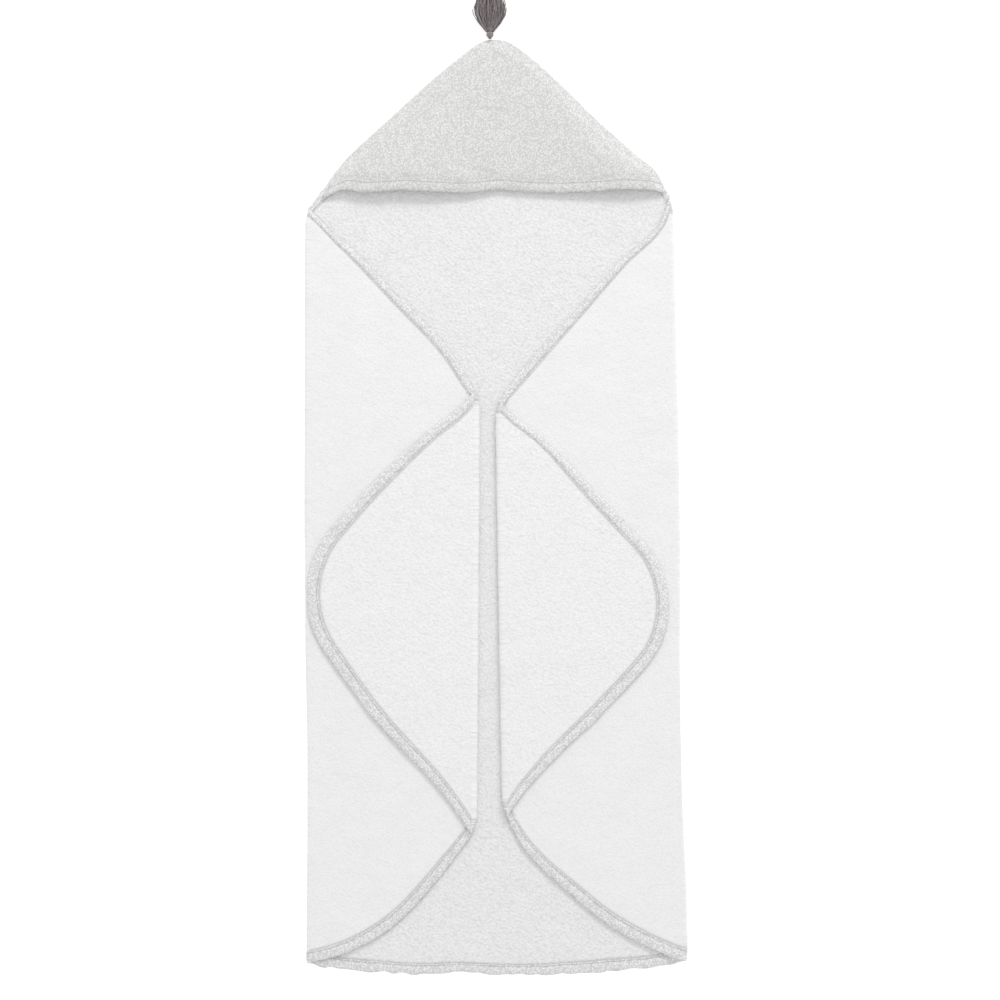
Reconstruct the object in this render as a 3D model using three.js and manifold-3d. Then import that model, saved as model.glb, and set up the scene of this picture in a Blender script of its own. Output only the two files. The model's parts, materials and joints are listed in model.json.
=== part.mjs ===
// Hooded baby towel, laid flat with both sides folded in to the middle and back out again.
//
// The towel is drawn as it was cut: one flat terry pattern whose edge is bound with a folded
// strip. The pattern is then divided along its four fold lines, and each division is turned
// about its fold, so the rest position is the towel as it lies folded.
//
// Units are millimetres. X runs across the towel, Y runs from the hem to the point of the
// hood, and Z is up from the surface that it lies on.

import * as THREE from "three";
import { mergeVertices } from "three/addons/utils/BufferGeometryUtils.js";
import Module from "manifold-3d";

const wasm = await Module();
wasm.setup();

// ---------------------------------------------------------------- driving dimensions

const TERRY = 3; // thickness of the terry cloth
const AIR = 0.5; // air between two folded layers
const GAP = 0.3; // clearance between touching pieces
const BINDING_WIDTH = 10; // the strip's width on each face of the towel
const BINDING_WALL = 0.5; // one layer of the strip
const PRESSED_TERRY = 1.4; // the terry's thickness where the strip grips it
const BENCH = 700; // half the size of a cutting tool, larger than any part of the towel

// The cut edge is a rounded polygon, the same on both sides. These are the corners of its
// right half, from the hem to the point, each with the radius that rounds it.
const HEM_MIDDLE = { x: 0, y: -451, r: 600 };
const RIGHT_HALF = [
  { x: 214, y: -443, r: 190 }, // end of the hem
  { x: 503, y: -102, r: 85 }, // side corner
  { x: 110, y: 317, r: 400 }, // shoulder
];
const HOOD_POINT = { x: 0, y: 413, r: 30 };
const CUT = [
  HEM_MIDDLE,
  ...RIGHT_HALF,
  HOOD_POINT,
  ...RIGHT_HALF.toReversed().map((corner) => ({ ...corner, x: -corner.x })),
];
const DEGREES_PER_STEP = 6; // how finely a round corner is drawn

// The fold lines on the flat pattern: x at y = 0, and degrees of lean, anticlockwise from +Y.
const FOLDS = {
  left: { outer: { x: -171, lean: 0 }, centre: { x: -322.5, lean: 0.38 } },
  right: { outer: { x: 164.3, lean: 1.13 }, centre: { x: 323, lean: 1.34 } },
};

const HOOD = {
  opening: 265, // y of the edge that the head goes in by
  rest: 1.4, // how far the hood's seams stand off the back panel
  rise: 10, // how far the cloth would arch above the seams if its middle didn't sag
  sag: 0.42, // the share of that height lost in the middle of the opening
  sagHalfWidth: 48,
  seamPower: 2.4, // how late the vault comes down to its seams: higher is later
  pointPower: 0.8, // how late it comes down to the point: lower is later
  rimPower: 10, // how narrow the pressed rim of the lining is: higher is narrower
  terry: 3, // thickness of the hood's lining
  rim: 0.6, // thickness of the lining where it is pressed into the seam
  print: 0.8, // thickness of the printed cotton
  liningInset: 2, // how far inside the print's edge the lining stops
  columns: 30,
  rows: 14,
  rowPower: 1.6, // how much closer the rows are near the point
};

const TASSEL = {
  sides: 24,
  x: -5.1, // it's tied a little to the left of the hood's point
  loopRadius: 0.9, // middle of the loop's cord
  loopSteps: 16,
  cordRadius: 0.45,
  cordSides: 8,
  axisHeight: 5.6, // the tassel's middle line above the surface that it lies on
  wrapRadius: 3.6,
  wrapLength: 4,
  wrapShape: [[0, 0.25], [0.2, 0.6], [0.45, 0.92], [0.7, 1], [1, 0.75]], // along it, and its size
  skirtLength: 39.1,
  skirtHalfWidth: 15.5,
  skirtHalfDepth: 5.2,
  skirtShape: [[0, 0.28], [0.1, 0.67], [0.26, 0.95], [0.44, 1], [0.58, 0.93], [0.75, 0.75], [1, 0.45]],
  neckSize: 0.45, // the skirt's least depth, as a share of its greatest
};

// ---------------------------------------------------------------- materials

const fabric = (name, color) =>
  new THREE.MeshStandardMaterial({ name, color, roughness: 0.95, metalness: 0 });
const TERRY_WHITE = fabric("terry", 0xf4f4f3);
const PRINTED_COTTON = fabric("print", 0xd9d7d8);
const TASSEL_YARN = fabric("yarn", 0x6f6765);

// ---------------------------------------------------------------- solids

function solidOf(geometry) {
  const bare = geometry.clone();
  bare.deleteAttribute("normal");
  bare.deleteAttribute("uv");
  const merged = mergeVertices(bare, 1e-4);
  return new wasm.Manifold(
    new wasm.Mesh({
      numProp: 3,
      vertProperties: new Float32Array(merged.attributes.position.array),
      triVerts: new Uint32Array(merged.index.array),
    }),
  );
}

function meshOf(name, solid, material) {
  const made = solid.getMesh();
  const geometry = new THREE.BufferGeometry();
  const positions = new THREE.BufferAttribute(made.vertProperties, 3);
  geometry.setAttribute("position", positions);
  geometry.setIndex(new THREE.BufferAttribute(made.triVerts, 1));
  const mesh = new THREE.Mesh(geometry, material);
  mesh.name = name;
  return mesh;
}

// A flat plate with this outline, from z = low to z = high.
function plate(outline, low, high) {
  const geometry = new THREE.ExtrudeGeometry(new THREE.Shape(outline), {
    depth: high - low,
    bevelEnabled: false,
  });
  geometry.translate(0, 0, low);
  return solidOf(geometry);
}

// A closed body from rings of points, each ring the same length, with flat ends.
function loft(rings) {
  const across = rings[0].length;
  const points = rings.flat();
  const index = [];
  for (let i = 0; i < rings.length - 1; i++) {
    for (let j = 0; j < across; j++) {
      const a = i * across + j;
      const b = i * across + ((j + 1) % across);
      index.push(a, b, b + across, a, b + across, a + across);
    }
  }
  const last = (rings.length - 1) * across;
  for (const face of THREE.ShapeUtils.triangulateShape(ringPlan(rings[0]), [])) {
    index.push(face[0], face[2], face[1]);
  }
  for (const face of THREE.ShapeUtils.triangulateShape(ringPlan(rings.at(-1)), [])) {
    index.push(last + face[0], last + face[1], last + face[2]);
  }
  const geometry = new THREE.BufferGeometry().setFromPoints(points);
  geometry.setIndex(index);
  return solidOf(geometry);
}

// A ring of points seen along the direction that the loft runs in.
function ringPlan(ring) {
  const box = new THREE.Box3().setFromPoints(ring);
  const size = box.getSize(new THREE.Vector3());
  const alongX = size.x <= size.y && size.x <= size.z;
  return ring.map((p) => (alongX ? new THREE.Vector2(p.y, p.z) : new THREE.Vector2(p.z, p.x)));
}

// ---------------------------------------------------------------- the flat pattern

// The arc that rounds one corner of the cut edge.
function roundedCorner(before, corner, after) {
  const here = new THREE.Vector2(corner.x, corner.y);
  const back = new THREE.Vector2(before.x, before.y).sub(here).normalize();
  const on = new THREE.Vector2(after.x, after.y).sub(here).normalize();
  const half = Math.acos(THREE.MathUtils.clamp(back.dot(on), -1, 1)) / 2;
  const centre = back.clone().add(on).normalize();
  centre.multiplyScalar(corner.r / Math.sin(half)).add(here);
  const turn = Math.PI - 2 * half;
  const middle = here.clone().sub(centre).angle();
  const arc = new THREE.ArcCurve(
    centre.x, centre.y, corner.r, middle - turn / 2, middle + turn / 2, false,
  );
  const steps = Math.max(2, Math.ceil(THREE.MathUtils.radToDeg(turn) / DEGREES_PER_STEP));
  return arc.getPoints(steps);
}

const cutEdge = CUT.flatMap((corner, i) =>
  roundedCorner(CUT[(i + CUT.length - 1) % CUT.length], corner, CUT[(i + 1) % CUT.length]),
);

// The cut edge moved in by a distance.
function inset(distance) {
  const count = cutEdge.length;
  return cutEdge.map((point, i) => {
    const before = cutEdge[(i + count - 1) % count];
    const after = cutEdge[(i + 1) % count];
    const a = new THREE.Vector2(before.y - point.y, point.x - before.x).normalize();
    const b = new THREE.Vector2(point.y - after.y, after.x - point.x).normalize();
    const inward = a.clone().add(b).normalize();
    return point.clone().addScaledVector(inward, distance / inward.dot(b));
  });
}

const foldDirection = ({ lean }) => {
  const angle = THREE.MathUtils.degToRad(lean);
  return new THREE.Vector3(-Math.sin(angle), Math.cos(angle), 0);
};

// Everything to the right of a fold line (side = 1) or to the left of it (side = -1).
function beyond(fold, side) {
  const along = foldDirection(fold);
  const start = new THREE.Vector2(fold.x + (side * GAP) / 2, 0);
  const low = new THREE.Vector2(along.x, along.y).multiplyScalar(-BENCH).add(start);
  const high = new THREE.Vector2(along.x, along.y).multiplyScalar(BENCH).add(start);
  const far = side * 2 * BENCH;
  const corners = [low, new THREE.Vector2(far, -BENCH), new THREE.Vector2(far, BENCH), high];
  return plate(side > 0 ? corners : corners.reverse(), -BENCH, BENCH);
}

function halfPlane(y, side) {
  const far = side * BENCH;
  const corners = [
    new THREE.Vector2(-BENCH, Math.min(y, far)),
    new THREE.Vector2(BENCH, Math.min(y, far)),
    new THREE.Vector2(BENCH, Math.max(y, far)),
    new THREE.Vector2(-BENCH, Math.max(y, far)),
  ];
  return plate(corners, -BENCH, BENCH);
}

// The divisions of the flat pattern.
const DIVISIONS = {
  back: beyond(FOLDS.left.outer, 1).intersect(beyond(FOLDS.right.outer, -1)),
  leftInner: beyond(FOLDS.left.outer, -1).intersect(beyond(FOLDS.left.centre, 1)),
  leftOuter: beyond(FOLDS.left.centre, -1),
  rightInner: beyond(FOLDS.right.outer, 1).intersect(beyond(FOLDS.right.centre, -1)),
  rightOuter: beyond(FOLDS.right.centre, 1),
};

// The whole terry sheet: full thickness inside the binding, pressed thin under it.
function terrySheet() {
  const pressedLow = (TERRY - PRESSED_TERRY) / 2;
  const body = plate(inset(BINDING_WIDTH + GAP), 0, TERRY);
  const edge = plate(inset(BINDING_WALL + GAP), pressedLow, pressedLow + PRESSED_TERRY);
  return body.add(edge);
}

// The whole binding: a strip folded round the pressed edge.
function bindingStrip() {
  const whole = plate(inset(0), 0, TERRY);
  const groove = plate(inset(BINDING_WALL), BINDING_WALL, TERRY - BINDING_WALL);
  return whole.subtract(plate(inset(BINDING_WIDTH), -1, TERRY + 1)).subtract(groove);
}

// Under the hood the edge is a turned seam with no binding, so the terry stays full there.
function hoodCorner() {
  const corner = plate(inset(BINDING_WALL), 0, TERRY).intersect(halfPlane(HOOD.opening, 1));
  return corner.intersect(DIVISIONS.back);
}

const sheet = terrySheet();
const strip = bindingStrip();
const upperHalf = halfPlane(0, 1);
const lowerHalf = halfPlane(0, -1);
const terryOf = (division) => sheet.intersect(DIVISIONS[division]);
const stripOf = (division, half) => {
  const cut = strip.intersect(DIVISIONS[division]);
  return half ? cut.intersect(half) : cut;
};

// ---------------------------------------------------------------- the folded sides

// A group that turns what is in it about an axis through a point.
function turned(point, direction, angle, ...contents) {
  const held = new THREE.Group();
  held.position.copy(point).negate();
  held.add(...contents);
  const pivot = new THREE.Group();
  pivot.position.copy(point);
  pivot.quaternion.setFromAxisAngle(direction, angle);
  pivot.add(held);
  return pivot;
}

// One side of the towel: the inner flap is folded in over the back panel, and the outer
// flap is folded back out over the inner one.
function foldedSide(side) {
  const { outer, centre } = FOLDS[side];
  const terry = (part, division) =>
    meshOf(`${side}_${part}_flap`, terryOf(division), TERRY_WHITE);
  const bound = (name, division, half) =>
    meshOf(`${side}_${name}_binding`, stripOf(division, half), PRINTED_COTTON);
  const outerFlap = turned(
    new THREE.Vector3(centre.x, 0, -AIR / 2),
    foldDirection(centre),
    Math.PI,
    terry("outer", `${side}Outer`),
    bound("corner", `${side}Outer`),
  );
  return turned(
    new THREE.Vector3(outer.x, 0, TERRY + AIR / 2),
    foldDirection(outer),
    Math.PI,
    terry("inner", `${side}Inner`),
    bound("inner_upper", `${side}Inner`, upperHalf),
    bound("inner_lower", `${side}Inner`, lowerHalf),
    outerFlap,
  );
}

// ---------------------------------------------------------------- the hood

// The left and right edge of an outline at a height y.
function spanAt(outline, y) {
  const crossings = [];
  outline.forEach((a, i) => {
    const b = outline[(i + 1) % outline.length];
    if (a.y > y !== b.y > y) {
      crossings.push(a.x + ((y - a.y) / (b.y - a.y)) * (b.x - a.x));
    }
  });
  return [Math.min(...crossings), Math.max(...crossings)];
}

const hoodTop = Math.max(...cutEdge.map((p) => p.y));

// How far across the hood a place is, from 0 in the middle to 1 at the seams.
function acrossHood(x, y) {
  const [left, right] = spanAt(cutEdge, y);
  return Math.min(1, Math.abs(2 * x - left - right) / (right - left));
}

// How far along the hood a place is, from 0 at the opening to 1 at the point.
const alongHood = (y) =>
  THREE.MathUtils.clamp((y - HOOD.opening) / (hoodTop - HOOD.opening), 0, 1);

// The hood's lower surface: flat at the seams and vaulted between them.
function hoodUnderside(x, y) {
  const across = 1 - acrossHood(x, y) ** HOOD.seamPower;
  const along = Math.cos((alongHood(y) * Math.PI) / 2) ** HOOD.pointPower;
  const sag = HOOD.sag * Math.exp(-((x / HOOD.sagHalfWidth) ** 2));
  return TERRY + HOOD.rest + HOOD.rise * (1 - sag) * across * along;
}

// The lining's upper surface, which comes down to a thin rim where the seams press it.
function liningTop(x, y) {
  const pressed = Math.max(acrossHood(x, y), alongHood(y)) ** HOOD.rimPower;
  return hoodUnderside(x, y) + THREE.MathUtils.lerp(HOOD.terry, HOOD.rim, pressed);
}
const printUnderside = (x, y) => liningTop(x, y) + GAP;
const printTop = (x, y) => printUnderside(x, y) + HOOD.print;

// Places across a span, closer together towards its ends.
function placesAcross([left, right], columns) {
  return Array.from({ length: columns + 1 }, (_, i) => {
    const share = Math.sin((THREE.MathUtils.lerp(-1, 1, i / columns) * Math.PI) / 2);
    return THREE.MathUtils.lerp(left, right, (share + 1) / 2);
  });
}

// One layer of the hood, between two height functions, from the opening up to the point.
function hoodLayer(edge, under, over) {
  const outline = inset(edge);
  const low = HOOD.opening + BINDING_WALL + GAP;
  const top = Math.max(...outline.map((p) => p.y)) - GAP;
  const rings = [];
  for (let i = 0; i <= HOOD.rows; i++) {
    const share = 1 - (1 - i / HOOD.rows) ** HOOD.rowPower;
    const y = THREE.MathUtils.lerp(low, top, share);
    const places = placesAcross(spanAt(outline, y), HOOD.columns);
    const lower = places.map((x) => new THREE.Vector3(x, y, under(x, y)));
    const upper = places.map((x) => new THREE.Vector3(x, y, over(x, y)));
    rings.push([...lower.reverse(), ...upper]);
  }
  return loft(rings);
}

// The strip folded round the hood's opening: a channel that follows the vault.
function hoodEdgeBinding() {
  const front = HOOD.opening;
  const back = front + BINDING_WIDTH;
  const inside = front + BINDING_WALL;
  const floor = (x, y) => hoodUnderside(x, y) - GAP;
  const roof = (x, y) => printTop(x, y) + GAP;
  const section = [
    [front, floor, -BINDING_WALL],
    [back, floor, -BINDING_WALL],
    [back, floor, 0],
    [inside, floor, 0],
    [inside, roof, 0],
    [back, roof, 0],
    [back, roof, BINDING_WALL],
    [front, roof, BINDING_WALL],
  ];
  const places = placesAcross(spanAt(inset(BINDING_WALL), back), HOOD.columns);
  return loft(
    places.map((x) => section.map(([y, height, off]) => new THREE.Vector3(x, y, height(x, y) + off))),
  );
}

function hood() {
  const lining = hoodLayer(HOOD.liningInset, hoodUnderside, liningTop);
  const print = hoodLayer(0, printUnderside, printTop);
  return [
    meshOf("hood_lining", lining, TERRY_WHITE),
    meshOf("hood_print_panel", print, PRINTED_COTTON),
    meshOf("hood_edge_binding", hoodEdgeBinding(), PRINTED_COTTON),
  ];
}

// ---------------------------------------------------------------- the tassel

// An oval body along +Y, from stations of y, half width and half depth.
function ovalBody(x, z, stations) {
  return loft(
    stations.map(([y, width, depth]) =>
      Array.from({ length: TASSEL.sides }, (_, i) => {
        const angle = (-2 * Math.PI * i) / TASSEL.sides;
        const px = x + width * Math.cos(angle);
        return new THREE.Vector3(px, y, z + depth * Math.sin(angle));
      }),
    ),
  );
}

function tassel() {
  const t = TASSEL;
  const x = t.x;
  const loopCentre = hoodTop + t.loopRadius + t.cordRadius + GAP;
  const loop = new THREE.TorusGeometry(t.loopRadius, t.cordRadius, t.cordSides, t.loopSteps);
  loop.translate(x, loopCentre, t.axisHeight);

  const wrapStart = loopCentre + t.loopRadius + t.cordRadius + GAP;
  const wrapEnd = wrapStart + t.wrapLength;
  const wrap = ovalBody(
    x,
    t.axisHeight,
    t.wrapShape.map(([share, size]) => [
      wrapStart + share * t.wrapLength,
      size * t.wrapRadius,
      size * t.wrapRadius,
    ]),
  );

  const skirtStart = wrapEnd + GAP;
  const skirt = ovalBody(
    x,
    t.axisHeight,
    t.skirtShape.map(([share, size]) => [
      skirtStart + share * t.skirtLength,
      size * t.skirtHalfWidth,
      Math.max(t.neckSize, size) * t.skirtHalfDepth,
    ]),
  );
  return [
    meshOf("tassel_loop", solidOf(loop), TASSEL_YARN),
    meshOf("tassel_wrap", wrap, TASSEL_YARN),
    meshOf("tassel_skirt", skirt, TASSEL_YARN),
  ];
}

// ---------------------------------------------------------------- assembly

const towel = new THREE.Group();
towel.add(
  meshOf("back_panel", terryOf("back").add(hoodCorner()), TERRY_WHITE),
  meshOf("hem_binding", stripOf("back", lowerHalf), PRINTED_COTTON),
  foldedSide("left"),
  foldedSide("right"),
  ...hood(),
  ...tassel(),
);

// The origin is the middle of the towel's outline, on the surface that it lies on.
towel.updateMatrixWorld(true);
const bounds = new THREE.Box3().setFromObject(towel, true);
const middle = bounds.getCenter(new THREE.Vector3());
towel.position.set(-middle.x, -middle.y, -bounds.min.z);

export default towel;
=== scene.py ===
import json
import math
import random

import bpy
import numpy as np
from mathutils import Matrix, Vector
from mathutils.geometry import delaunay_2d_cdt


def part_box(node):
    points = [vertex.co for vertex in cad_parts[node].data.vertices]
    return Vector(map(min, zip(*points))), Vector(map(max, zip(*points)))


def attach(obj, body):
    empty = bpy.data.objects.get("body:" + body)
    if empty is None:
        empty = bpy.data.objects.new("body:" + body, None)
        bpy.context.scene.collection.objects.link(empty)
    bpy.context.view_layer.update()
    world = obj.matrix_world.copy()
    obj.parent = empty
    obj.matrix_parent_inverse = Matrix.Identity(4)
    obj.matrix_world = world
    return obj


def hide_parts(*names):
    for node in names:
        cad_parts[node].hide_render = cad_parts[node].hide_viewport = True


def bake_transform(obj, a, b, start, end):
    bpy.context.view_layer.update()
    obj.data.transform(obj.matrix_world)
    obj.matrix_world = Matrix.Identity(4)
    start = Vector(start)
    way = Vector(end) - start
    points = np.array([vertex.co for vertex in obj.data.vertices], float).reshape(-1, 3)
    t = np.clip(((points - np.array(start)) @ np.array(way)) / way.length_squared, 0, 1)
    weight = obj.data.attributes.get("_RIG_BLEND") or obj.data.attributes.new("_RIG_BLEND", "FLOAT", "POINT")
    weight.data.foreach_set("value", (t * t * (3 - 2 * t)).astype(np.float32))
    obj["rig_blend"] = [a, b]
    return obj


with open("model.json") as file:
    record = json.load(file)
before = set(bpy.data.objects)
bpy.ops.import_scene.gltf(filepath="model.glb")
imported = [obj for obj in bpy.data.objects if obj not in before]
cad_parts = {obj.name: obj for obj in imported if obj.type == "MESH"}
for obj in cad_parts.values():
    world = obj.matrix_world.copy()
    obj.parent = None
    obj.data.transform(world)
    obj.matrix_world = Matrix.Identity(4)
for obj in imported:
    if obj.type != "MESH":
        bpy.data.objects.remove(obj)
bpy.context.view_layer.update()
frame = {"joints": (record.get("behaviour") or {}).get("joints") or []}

# Hooded baby towel, laid flat, with both sides folded in to the middle and back out again.
#
# The cloth is drawn on its flat pattern and then folded by one function, folded(), which takes a
# place on the pattern, how many folds it has been through (q) and how far it stands off the
# cloth's middle (h). q is 0 on the back panel, 1 on an inner flap and 2 on an outer flap, and it
# passes through the values between them round the bend at each fold.
#
# Metres throughout. X runs across the towel, Y from the hem to the hood's point, Z is up.

MM = 0.001
random.seed(4)

# ------------------------------------------------------------------ driving dimensions

TERRY_HALF = 1.5 * MM  # half the cloth's thickness
PRESSED_HALF = 0.84 * MM  # half its thickness inside the binding
GRID = 2.9 * MM  # spacing of the cloth's points
SPLIT = 8 * MM  # how far from a fold one piece of cloth ends and the next begins
EDGE_INSET = 1.1 * MM  # the terry's own edge, inside the binding
STITCH_PITCH = 3.3 * MM
STITCH_LENGTH = 2.3 * MM
STITCH_DEPTH = 8.5 * MM  # how far in from the edge the stitching runs
STITCH_HEIGHT = 1.06 * MM  # how far off the cloth's middle
HOOD_BAND = 9.5 * MM  # width of the strip bound over the hood's opening

# Corners of the cut edge: x, y and the radius that rounds each, anticlockwise, in millimetres.
HALF_PATTERN = [(214, -443, 190), (503, -102, 85), (110, 317, 400)]
PATTERN = (
    [(0, -451, 600)]
    + HALF_PATTERN
    + [(0, 413, 30)]
    + [(-x, y, r) for x, y, r in reversed(HALF_PATTERN)]
)
ARC_STEP = math.radians(3)


# ------------------------------------------------------------------ small helpers

def unit(v):
    v = np.asarray(v, float)
    return v / np.linalg.norm(v)


def spans(outline):
    """The straight stretches of a closed outline, each as its two ends."""
    return zip(outline, np.roll(outline, -1, 0))


def smoothstep(t):
    t = np.clip(t, 0, 1)
    return t * t * (3 - 2 * t)


def smooth_curve(table, at):
    """A smooth curve through the rows of a table (place, values...), read at many places."""
    rows = np.array(table, float)
    x, values = rows[:, 0], rows[:, 1:]
    slopes = np.gradient(values, x, axis=0)
    at = np.clip(at, x[0], x[-1])
    i = np.clip(np.searchsorted(x, at, "right") - 1, 0, len(x) - 2)
    step = (x[i + 1] - x[i])[:, None]
    t = (at - x[i])[:, None] / step
    return (
        (2 * t ** 3 - 3 * t ** 2 + 1) * values[i]
        + (t ** 3 - 2 * t ** 2 + t) * step * slopes[i]
        + (3 * t ** 2 - 2 * t ** 3) * values[i + 1]
        + (t ** 3 - t ** 2) * step * slopes[i + 1]
    )


def waves(seed, wavelength, count=28):
    """A smooth random field over (x, y), about -1 to 1, with bumps of about this wavelength."""
    rng = np.random.default_rng(seed)
    angle = rng.uniform(0, 2 * math.pi, count)
    length = wavelength * rng.uniform(0.7, 1.5, count)
    kx = 2 * math.pi / length * np.cos(angle)
    ky = 2 * math.pi / length * np.sin(angle)
    phase = rng.uniform(0, 2 * math.pi, count)

    def field(x, y):
        x, y = np.broadcast_arrays(np.asarray(x, float), np.asarray(y, float))
        total = np.zeros(x.shape)
        for a, b, c in zip(kx, ky, phase):
            total += np.sin(a * x + b * y + c)
        return total / math.sqrt(count / 2) / 2

    return field


# ------------------------------------------------------------------ the folds

class Line:
    def __init__(self, point, direction):
        self.point = np.asarray(point, float)[:2]
        self.direction = unit(np.asarray(direction, float)[:2])
        if self.direction[1] < 0:
            self.direction = -self.direction

    def reflect(self, points):
        offset = points - self.point
        along = (offset @ self.direction)[..., None] * self.direction
        return 2 * (self.point + along) - points

    def reflected(self, other):
        point = self.reflect(other.point)
        return Line(point, self.reflect(other.point + other.direction) - point)

    def normal(self, towards):
        """The direction square to the line, on the side that +X (1) or -X (-1) is on."""
        across = np.array((self.direction[1], -self.direction[0]))
        return across * towards

    def beyond(self, points, towards):
        return (points - self.point) @ self.normal(towards)


JOINTS = {j["name"]: j for j in frame["joints"]}
BACK_MIDDLE = sum(v.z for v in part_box("back_panel")) / 2


class Side:
    def __init__(self, name, out):
        self.name = name
        self.out = out  # -1 on the left, 1 on the right
        outer, centre = JOINTS[f"{name}_outer_fold"], JOINTS[f"{name}_centre_fold"]
        self.outer = Line(outer["pos_m"], outer["axis"])
        self.centre_folded = Line(centre["pos_m"], centre["axis"])
        self.centre = self.outer.reflected(self.centre_folded)
        self.outer_hinge = Vector(outer["pos_m"])
        self.centre_hinge = Vector(centre["pos_m"])
        self.bend = outer["pos_m"][2] - BACK_MIDDLE


LEFT = Side("left", -1)
RIGHT = Side("right", 1)
SIDES = (LEFT, RIGHT)


# ------------------------------------------------------------------ the flat pattern

# Places round the cut edge are written as (landmark, millimetres past it towards the hem). The
# landmarks are 0 the hood's point, 1 the outer fold's upper end, 2 and 3 the centre fold's upper
# and lower ends, 4 the outer fold's lower end and 5 the middle of the hem.

# How far the sewn edge strays outward from its pattern, in millimetres: the towel's own edge,
# which isn't sewn quite to the pattern.
STRAY = {
    "left": [
        (0, 0, 0), (0, 60, 3), (0, 138, 2), (0, 190, 4), (1, 0, -1.5), (1, 22, -2), (1, 78, 2.5),
        (1, 110, 3), (2, -30, 2), (2, 0, -4), (2, 18, -6), (2, 66, 0), (2, 142, 3), (2, 215, 0.5),
        (3, -235, 0.5), (3, -140, 5.5), (3, -33, 1), (3, 20, 5), (3, 40, 6), (3, 160, 4),
        (4, 0, 1), (4, 45, 2), (4, 108, 3), (4, 140, 0.5), (5, 0, 0.5),
    ],
    "right": [
        (0, 0, 0), (0, 50, 2), (0, 134, -1.5), (0, 172, 1), (0, 190, 4), (1, 0, -2),
        (1, 26, -12), (1, 80, -8), (1, 144, -7), (2, -25, -5), (2, 0, -6.5), (2, 18, -9.5), (2, 63, -4),
        (2, 163, -1), (2, 215, 0.5), (3, -165, 3), (3, -132, 1), (3, -60, -5.5), (3, -16, -5),
        (3, 26, 4.5), (3, 111, 0), (3, 165, -2), (4, 0, 0), (4, 48, 1), (4, 144, 2.5),
        (5, 0, 0.5),
    ],
}
# How much of the binding's width shows, where the cloth rolls over its inner border.
BINDING_SHARE = {
    "left": [
        (0, 0, 1), (1, -20, 0.9), (1, 0, 0.6), (1, 20, 0.45), (1, 45, 0.6), (1, 75, 0.78),
        (1, 110, 0.85), (2, -20, 0.8), (2, 0, 0.75), (2, 20, 0.88), (2, 60, 1), (3, -60, 1),
        (3, 0, 0.85), (3, 40, 1), (5, 0, 1),
    ],
    "right": [
        (0, 0, 1), (1, -20, 0.8), (1, 0, 0.55), (1, 26, 0.5), (1, 49, 0.55), (1, 80, 0.66),
        (1, 140, 0.74), (2, -20, 0.86), (2, 0, 0.68), (2, 20, 0.62), (2, 45, 0.62), (2, 70, 0.7),
        (2, 100, 0.9), (2, 150, 1), (3, -40, 0.9), (3, 0, 0.72), (3, 40, 0.95), (5, 0, 1),
    ],
}
BINDING_FULL = 0.89  # where it shows in full, as a share of its section below
EDGE_STEP = 5 * MM


def arc_lengths(outline):
    """How far round a closed outline each of its points is, and last its whole length."""
    spans = np.linalg.norm(np.roll(outline, -1, 0) - outline, axis=1)
    return np.concatenate(([0], np.cumsum(spans)))


def crossings(outline, line):
    """How far round an outline it crosses a line, the highest crossing first."""
    here = line.beyond(outline, 1)
    ahead = np.roll(here, -1)
    hits = np.nonzero(here * ahead < 0)[0]
    share = here[hits] / (here[hits] - ahead[hits])
    starts = arc_lengths(outline)
    height = outline[hits, 1] + share * (np.roll(outline, -1, 0)[hits, 1] - outline[hits, 1])
    arcs = starts[hits] + share * np.diff(starts)[hits]
    order = np.argsort(-height)
    return float(arcs[order[0]]), float(arcs[order[-1]])


def landmarks(outline, side):
    """How far from the hood's point each landmark is, round this side of an outline."""
    starts = arc_lengths(outline)
    point = starts[int(np.argmax(outline[:, 1]))]
    (first, last), (second, third) = (crossings(outline, x) for x in (side.outer, side.centre))
    hem = starts[-1] if side.out < 0 else 0.0
    return [abs(arc - point) for arc in (point, first, second, third, last, hem)]


def round_the_edge(tables, outline, arc):
    """The values of a left and a right table at distances round an outline."""
    starts = arc_lengths(outline)
    point = starts[int(np.argmax(outline[:, 1]))]
    arc = np.mod(arc, starts[-1])
    values = np.empty(len(arc))
    for side in SIDES:
        here = (arc > point) == (side.out < 0)
        places = landmarks(outline, side)
        knots = [(places[k] + past * MM, value) for k, past, value in tables[side.name]]
        values[here] = smooth_curve(knots, np.abs(arc[here] - point))[:, 0]
    return values


def rounded_polygon(corners):
    points = []
    for i, (x, y, radius) in enumerate(corners):
        here = np.array((x, y), float)
        back = unit(np.array(corners[i - 1][:2]) - here)
        on = unit(np.array(corners[(i + 1) % len(corners)][:2]) - here)
        half = math.acos(float(back @ on)) / 2
        centre = here + unit(back + on) * radius / math.sin(half)
        turn = math.pi - 2 * half
        middle = math.atan2(here[1] - centre[1], here[0] - centre[0])
        steps = max(2, math.ceil(turn / ARC_STEP))
        for k in range(steps + 1):
            angle = middle - turn / 2 + turn * k / steps
            points.append(centre + radius * np.array((math.cos(angle), math.sin(angle))))
    return np.array(points)


def square_inward(outline):
    ahead = np.roll(outline, -1, 0) - np.roll(outline, 1, 0)
    inward = np.column_stack((-ahead[:, 1], ahead[:, 0]))
    return inward / np.linalg.norm(inward, axis=1)[:, None]


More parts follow.
